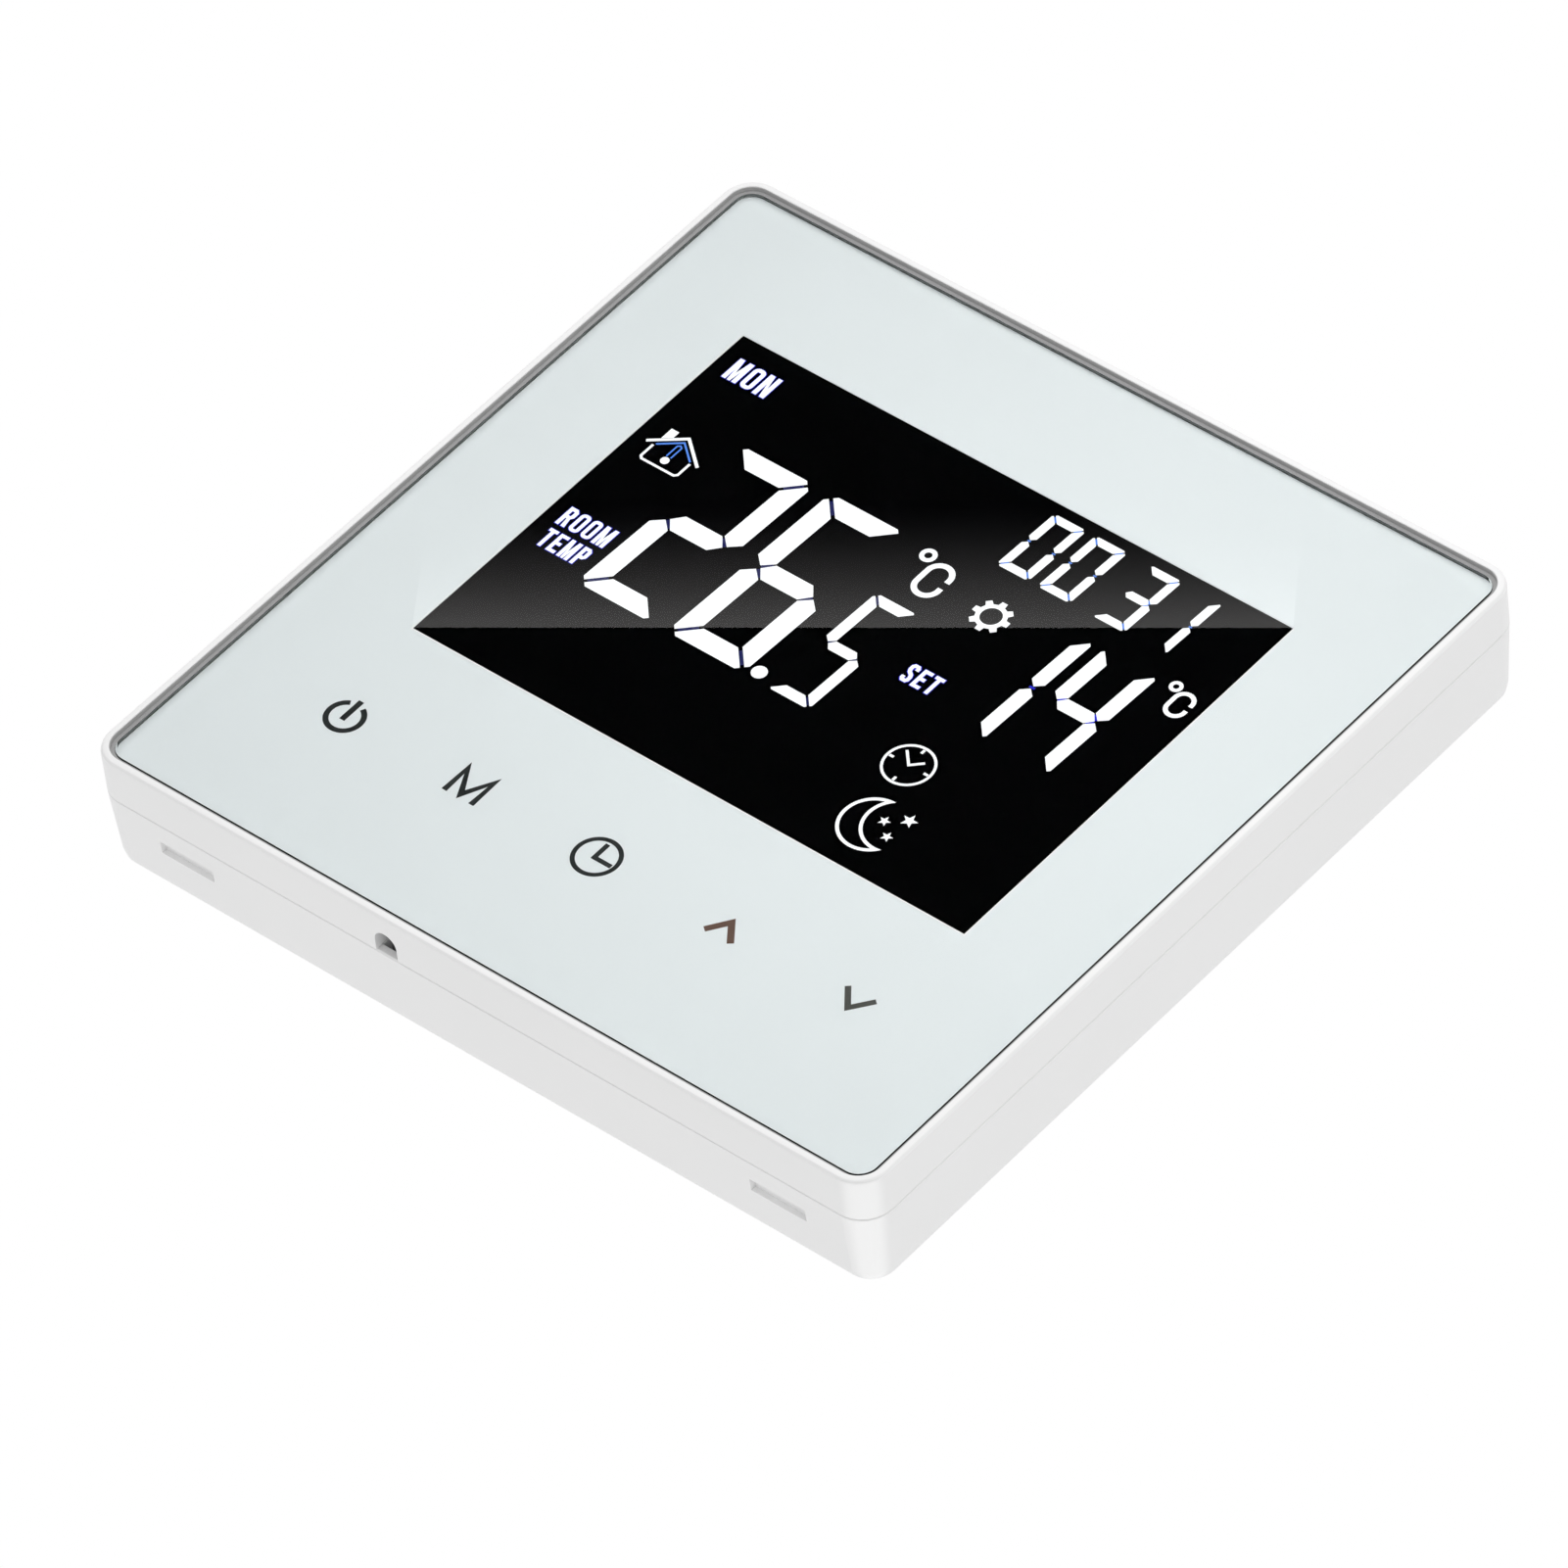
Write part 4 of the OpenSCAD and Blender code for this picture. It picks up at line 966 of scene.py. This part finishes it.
def soldered(name, size, finish, places):
    """Small parts on the control board's back at places (x, z, turned), as one piece."""
    part = chip_part(*size, finish)
    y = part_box("control_board")[1].y / MM + size[2] / 2
    copies = []
    for x, z, turned in places:
        copy = placed(name, part.data.copy())
        turn = Matrix.Rotation(math.pi / 2 if turned else 0, 4, "Y")
        copy.data.transform(Matrix.Translation((x * MM, y * MM, z * MM)) @ turn)
        copies.append(copy)
    deselect()
    for copy in copies:
        copy.select_set(True)
    bpy.context.view_layer.objects.active = copies[0]
    bpy.ops.object.join()
    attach(bpy.context.object, "front_unit")
    bpy.data.objects.remove(part)


soldered(
    "resistors", (1.6, 0.8, 0.45), chip_black,
    [(x, -22.5, True) for x in (-28.24, -14.17, -0.1, 13.97, 28.04)]
    + [(-20 + 2.2 * i, z, True) for z in (12, 16) for i in range(7)]
    + [(22, 2 - 2 * i, False) for i in range(5)],
)
soldered(
    "chip_capacitors", (2.0, 1.25, 0.8), bobbin_ivory,
    [(-3, 23.5, False), (2, 23.5, False), (2.2, 16, True), (2.2, 11, True), (18, 10, True),
     (18, 15, True), (9, 5, False), (13, 5, False), (-8, -24.5, True), (8, -24.5, True),
     (-13, -5.4, True), (13, -5.4, True)],
)
soldered(
    "regulators", (3.0, 1.7, 1.0), chip_black,
    [(-26, -6, False), (-26, -11, False), (24, -10, True)],
)


def terminal_numbers():
    """Numbers moulded above the terminals on the rear of the box."""
    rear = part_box("wall_case")[1].y
    pitch, foot, tall, proud = 6.4, -6.4, 2.6, 0.12
    for i in range(1, 7):
        curve = bpy.data.curves.new(f"terminal_number_{i}", "FONT")
        curve.body = str(i)
        curve.size = tall * MM
        curve.align_x = "CENTER"
        curve.extrude = proud * MM
        place = ((i - 3.5) * pitch * MM, rear, foot * MM)
        piece = wear(from_curve(curve, (math.pi / 2, 0, math.pi), place), white_case)
        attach(piece, "wall_unit")


terminal_numbers()

# ---- studio --------------------------------------------------------------------------

def studio():
    """White surroundings, dark only where the glass mirrors the room in front of it."""
    white, dark, bright = [(level,) * 3 for level in (1.0, 0.0, 3.6)]
    room_behind = (0.92,) * 3
    front_glow, back_glow = (1.36,) * 3, (0.62,) * 3
    world = bpy.data.worlds.new("studio")
    bpy.context.scene.world = world
    paint = Paint(world)
    world.cycles.sampling_method = "NONE"
    light_path = paint.tree.nodes.new("ShaderNodeLightPath")
    seen = Wire(paint, light_path.outputs["Is Camera Ray"])
    soft = Wire(paint, light_path.outputs["Diffuse Depth"]) > 0.5
    ray = paint.node("ShaderNodeTexCoord", {}, {}, "Generated")
    side, away, _ = paint.axes(ray)
    mirrored = paint.mix((away * 2.5 + 0.6).limited(), dark, room_behind)
    # a bright patch low behind the right side, which draws the light along the near corner
    toward = paint.node(
        "ShaderNodeVectorMath", {"operation": "DOT_PRODUCT"},
        {0: ray, 1: Vector((0.43, 0.72, -0.54)).normalized()}, "Value",
    )
    patch = ((toward - 0.66) * 4.5).limited()
    mirrored = paint.mix(patch, mirrored, bright)
    glow = paint.mix((away * 0.5 + 0.5).limited(), front_glow, back_glow)
    colour = paint.mix(soft, mirrored, glow)
    colour = paint.mix(seen, colour, white)
    level = 1 - (side * 0.09) * soft
    back = paint.node("ShaderNodeBackground", {}, {"Color": colour, "Strength": level})
    out = paint.tree.nodes.new("ShaderNodeOutputWorld")
    paint.feed(out.inputs["Surface"], back)


def lamp(name, place, aim, size, power):
    """A small square lamp that no mirror and no camera sees."""
    light = bpy.data.lights.new(name, "AREA")
    light.size = size
    light.energy = power
    holder = placed(name, light)
    holder.location = place
    holder.rotation_euler = (Vector(aim) - Vector(place)).to_track_quat("-Z", "Y").to_euler()
    holder.visible_camera = holder.visible_glossy = False


def floor():
    """A wide pale floor well below the thermostat, which hangs on its wall."""
    deselect()
    bpy.ops.mesh.primitive_plane_add(size=60, location=(0, 0, -1.2))
    piece = bpy.context.object
    piece.name = "floor"
    wear(piece, plastic("pale_floor", (0.85, 0.85, 0.85), 0.7, 3, 0.0))
    piece.visible_glossy = False


def camera():
    """A long lens that looks up at the front from its lower right, turned on its side."""
    az, el, roll = map(math.radians, (34.795, -29.210, 47.657))
    aim, distance = Vector((0.0008, -0.0032, -0.0048)), 1.1633
    back = Vector((math.sin(az) * math.cos(el), -math.cos(az) * math.cos(el), math.sin(el)))
    level = Vector((0, 0, 1)).cross(back).normalized()
    rise = back.cross(level)
    right = level * math.cos(roll) + rise * math.sin(roll)
    up = rise * math.cos(roll) - level * math.sin(roll)
    eye = bpy.data.cameras.new("camera")
    eye.lens = 316.4
    eye.sensor_width = 36
    eye.clip_start = 0.01
    eye.clip_end = 30
    holder = placed("camera", eye)
    turn = Matrix((right, up, back)).transposed().to_4x4()
    holder.matrix_world = Matrix.Translation(aim + back * distance) @ turn
    bpy.context.scene.camera = holder
    return holder.matrix_world.translation.copy()


def glare(eye):
    """A card whose fading light the display mirrors towards a viewer at its lower right."""
    face = glass_low.y
    image = Vector((eye.x, 2 * face - eye.y, eye.z))
    reach, width, power = 0.45, 15.5, 1.22

    def mirrored(point):
        """Where the sight of a point on the glass lands in front of it."""
        point = Vector((point.x * MM, face, point.y * MM))
        return point + (point - image).normalized() * reach

    low, high = Vector((-30.15, -15.85)), Vector((30.85, 27.45))
    span = (high - low).normalized()
    across = Vector((-span.y, span.x)) * width
    near_low, near_high, far_low, far_high = map(
        mirrored, (low, high, low + across, high + across)
    )
    deselect()
    bpy.ops.mesh.primitive_plane_add(size=1)
    card = bpy.context.object
    card.name = "glare_card"
    for vertex, corner in zip(card.data.vertices, (near_low, near_high, far_low, far_high)):
        vertex.co = corner
    material = bpy.data.materials.new("glare_light")
    paint = Paint(material)
    place = paint.node("ShaderNodeNewGeometry", {}, {}, "Position")
    offset = paint.node("ShaderNodeVectorMath", {"operation": "SUBTRACT"}, {0: place, 1: near_low})
    edge = (near_high - near_low).normalized()
    away = far_low - near_low
    normal = away - edge * away.dot(edge)
    along = paint.node(
        "ShaderNodeVectorMath", {"operation": "DOT_PRODUCT"},
        {0: offset, 1: normal / normal.length_squared}, "Value",
    )
    fade = (1 - along).limited() ** 2.2
    glow = paint.node(
        "ShaderNodeEmission", {}, {"Color": (1, 0.98, 0.97), "Strength": fade * power}
    )
    out = paint.tree.nodes.new("ShaderNodeOutputMaterial")
    paint.feed(out.inputs["Surface"], glow)
    wear(card, material)
    card.visible_camera = card.visible_diffuse = card.visible_shadow = False
    card.visible_transmission = False


bpy.context.scene.view_settings.view_transform = "Standard"
studio()
lamp("key_light", (0.022, -0.15, 0.022), (0.015, 0, 0.015), 0.04, 0.052)
floor()
glare(camera())
